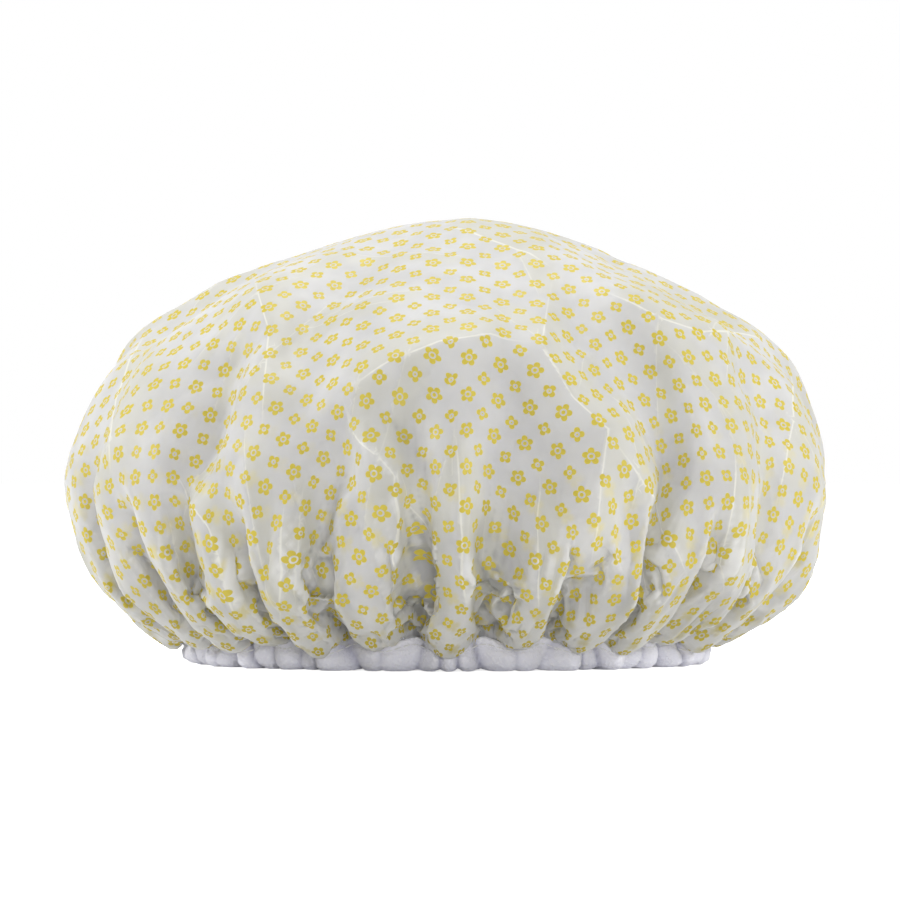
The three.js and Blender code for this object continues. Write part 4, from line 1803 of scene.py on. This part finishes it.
@dataclass
class SeamThreads:
    """The two rows of lockstitches through the binding, and the tacks at the back."""

    plan: GatherPlan
    hem: HemSizes
    binding: HemBinding
    stitches_per_gather: int = 8
    stitch_fill: float = 0.86
    sunk: float = 0.0001
    winds: int = 8
    corner_start: float = 0.82
    zigs: int = 10
    zig_step: float = 0.02

    def _row(self, name: str, places: np.ndarray) -> bpy.types.Mesh:
        """Lays a slim bead along each stitch from one place to the next.

        Args:
            name: the row's name.
            places: the needle's holes, in order.

        Returns:
            The stitches as one mesh.
        """
        pattern = bmesh.new()
        bmesh.ops.create_uvsphere(pattern, u_segments=7, v_segments=6, radius=1.0)
        bead = mesh_of(pattern, "bead")
        half = self.hem.thread / 2
        work = bmesh.new()
        for start, end in zip(places, np.roll(places, -1, axis=0)):
            run = Vector(end - start)
            size = Matrix.Diagonal((half, half, run.length * self.stitch_fill / 2, 1))
            turn = run.to_track_quat("Z", "Y").to_matrix().to_4x4()
            middle = Matrix.Translation(Vector((start + end) / 2))
            stitch = bead.copy()
            stitch.transform(middle @ turn @ size)
            work.from_mesh(stitch)
            bpy.data.meshes.remove(stitch)
        bpy.data.meshes.remove(bead)
        return mesh_of(work, name)

    def build_row(self, outside: bool, finish: ThreadFinish, reach: SoftReach) -> bpy.types.Object:
        """Sews one row round the hem.

        Args:
            outside: True for the needle thread outside, False for the bobbin thread inside.
            finish: the thread's finish.
            reach: puts soft pieces on the cap's body.

        Returns:
            The row.
        """
        hem = self.hem
        count = self.plan.count * self.stitches_per_gather
        turns = (np.arange(count) + 0.5) * FULL_TURN / count
        if outside:
            name, node, radius = "needle_stitches", "needle_thread", hem.outer_face
            top = self.binding.outer_top(self.plan.rise(turns))
            height = hem.outer_top * ((top - hem.seam_below_edge) / top)
            stand_off = hem.thread / 2 - self.sunk
        else:
            name, node, radius = "bobbin_stitches", "bobbin_thread", hem.inner_face
            height = np.full(count, hem.inner_top - hem.seam_below_edge)
            stand_off = self.sunk - hem.thread / 2
        places = self.binding.warp(turns, np.full(count, radius), height)
        bearing = self.plan.bearing(turns)
        places = places + around(bearing, np.full(count, stand_off), np.zeros(count))
        row = new_piece(name, self._row(name, places), finish.material())
        reach.attach(row, node)
        return row

    def _tube(self, name: str, places: Sequence[Vector], finish: ThreadFinish) -> bpy.types.Object:
        """A thread laid along places, as a mesh."""
        curve = bpy.data.curves.new(name, "CURVE")
        curve.dimensions = "3D"
        curve.bevel_depth = self.hem.thread / 2
        curve.bevel_resolution = 2
        curve.use_fill_caps = True
        line = curve.splines.new("NURBS")
        line.points.add(len(places) - 1)
        for point, place in zip(line.points, places):
            point.co = (*place, 1)
        line.use_endpoint_u = True
        line.order_u = 3
        line.resolution_u = 3
        drawn = in_scene(name, curve)
        bpy.context.view_layer.update()
        piece = new_piece(name, settled_mesh(drawn), finish.material())
        bpy.data.objects.remove(drawn)
        piece.name = name
        return piece

    def _room(self, box: tuple[Vector, Vector], sides: Vector) -> tuple[Vector, Vector]:
        """The middle of a CAD node's box, and half its size less the thread on some sides."""
        low, high = box
        return (low + high) / 2, (high - low) / 2 - sides * self.hem.thread / 2

    def build_tacks(self, finish: ThreadFinish) -> list[bpy.types.Object]:
        """Winds the tack round the elastic's lapped ends and sews the binding's ends together.

        Args:
            finish: the thread's finish.

        Returns:
            The tack and the join.
        """
        middle, half = self._room(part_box("elastic_tack"), Vector((1, 1, 1)))
        corners = ((-1, -1), (1, -1), (1, 1), (-1, 1))
        wound = []
        for corner in range(self.winds * 4 + 1):
            across = -half.x + 2 * half.x * corner / (self.winds * 4)
            side, up = corners[corner % 4]
            for soft in (self.corner_start, 1.0):
                wound.append(middle + Vector((across, side * half.y, up * half.z * soft)))
        tack = self._tube("tack_stitches", wound, finish)
        middle, half = self._room(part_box("binding_join"), Vector((1, 0, 1)))
        zigzag = []
        for zig in range(self.zigs + 1):
            side = half.x if zig % 2 else -half.x
            zigzag.append(middle + Vector((side, 0, half.z * (2 * zig / self.zigs - 1))))
            zigzag.append(zigzag[-1] + Vector((0, 0, half.z * self.zig_step)))
        join = self._tube("join_stitches", zigzag, finish)
        for piece, node in ((tack, "elastic_tack"), (join, "binding_join")):
            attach(piece, Body.HEM_BACK.value)
            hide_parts(node)
        return [tack, join]


@dataclass(frozen=True)
class Lamp:
    """A soft studio lamp."""

    name: str
    place: tuple[float, float, float]
    power: float
    size: float

    def build(self, target: Vector) -> None:
        """Hangs the lamp, turned to a target."""
        data = bpy.data.lights.new(self.name, "AREA")
        data.energy = self.power
        data.shape = "DISK"
        data.size = self.size
        lamp = in_scene(self.name, data)
        lamp.location = self.place
        lamp.rotation_euler = (Vector(self.place) - target).to_track_quat("Z", "Y").to_euler()


@dataclass
class Studio:
    """A white room: a pale floor, soft lamps and a white surround."""

    lamps: tuple[Lamp, ...] = (
        Lamp("right", (1.15, -0.20, 0.50), 8.4, 0.5),
        Lamp("left", (-1.1, -0.12, 0.6), 9.6, 0.5),
        Lamp("above", (0.0, 0.15, 1.3), 13.0, 0.8),
        Lamp("front", (0.25, -1.4, 0.05), 8.4, 0.5),
    )
    aim: float = 0.08
    floor_half: float = 6.0
    floor_tones: tuple[tuple[float, ...], ...] = ((0.90, 0.90, 0.90, 1), (0.93, 0.93, 0.93, 1))
    floor_patches: float = 0.004
    surround: float = 0.31
    floor_lift: float = 0.80

    def build(self) -> None:
        """Sets up the floor, the lamps and the surround."""
        work = bmesh.new()
        bmesh.ops.create_grid(work, x_segments=1, y_segments=1, size=self.floor_half)
        floor = new_piece("floor", mesh_of(work, "floor"), self._floor_finish())
        target = Vector((0, 0, self.aim))
        for lamp in self.lamps:
            lamp.build(target)
        self._surround()

    def _seen(self, draw: NodeSketch) -> bpy.types.NodeSocket:
        """1 for rays that show the background: from the camera, in gloss and through glass."""
        path = draw.add("ShaderNodeLightPath").outputs
        shown = draw.math("MAXIMUM", path["Is Camera Ray"], path["Is Glossy Ray"])
        return draw.math("MAXIMUM", shown, path["Is Transmission Ray"])

    def _floor_finish(self) -> bpy.types.Material:
        """A pale floor that shows white beside the cap's shadow."""
        material, draw, surface = new_material("pale_floor")
        tone = draw.noise(draw.millimetres(), self.floor_patches)
        draw.dress(
            surface,
            {
                "Base Color": draw.colour(tone, *self.floor_tones),
                "Roughness": 0.9,
                "Specular IOR Level": 0.0,
                "Emission Color": (1, 1, 1, 1),
                "Emission Strength": draw.math("MULTIPLY", self._seen(draw), self.floor_lift),
            },
        )
        return material

    def _surround(self) -> None:
        """A white surround that lights the cap softly."""
        world = bpy.data.worlds.new("white_surround")
        world.use_nodes = True
        bpy.context.scene.world = world
        draw = NodeSketch(world.node_tree)
        strength = draw.spread(self._seen(draw), 0.0, 1.0, self.surround, 1.0)
        draw.dress(world.node_tree.nodes["Background"], {"Color": (1, 1, 1, 1), "Strength": strength})


def main() -> None:
    """Builds the cap's pieces in order."""
    logging.basicConfig(level=logging.INFO, format="%(name)s: %(message)s")
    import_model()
    bpy.context.scene.view_settings.view_transform = "Standard"
    view = PhotoView()
    view.build()
    Studio().build()
    plan, hem, outline, reach = GatherPlan(), HemSizes(), CapOutline(), SoftReach()
    shell = FilmShell(plan, hem, outline, view)
    settled = shell.settle()
    film = shell.build(settled, FilmFinish(), reach)
    pile = TerryPile().tree()
    lining = TerryLining(hem).build(settled, TerryFinish("terry_lining"), pile, reach)
    maker = HemBinding(plan, hem)
    binding = maker.build(TerryFinish("terry_binding"), pile, reach)
    elastic = ElasticBand(plan, hem).build(ElasticFinish(), reach)
    threads = SeamThreads(plan, hem, maker)
    thread = ThreadFinish()
    rows = [threads.build_row(outside, thread, reach) for outside in (True, False)]
    tacks = threads.build_tacks(thread)
    for piece in (film, lining, binding, elastic, *rows, *tacks):
        LOG.info("%s: %d faces", piece.name, len(piece.data.polygons))


if __name__ == "__main__":
    main()
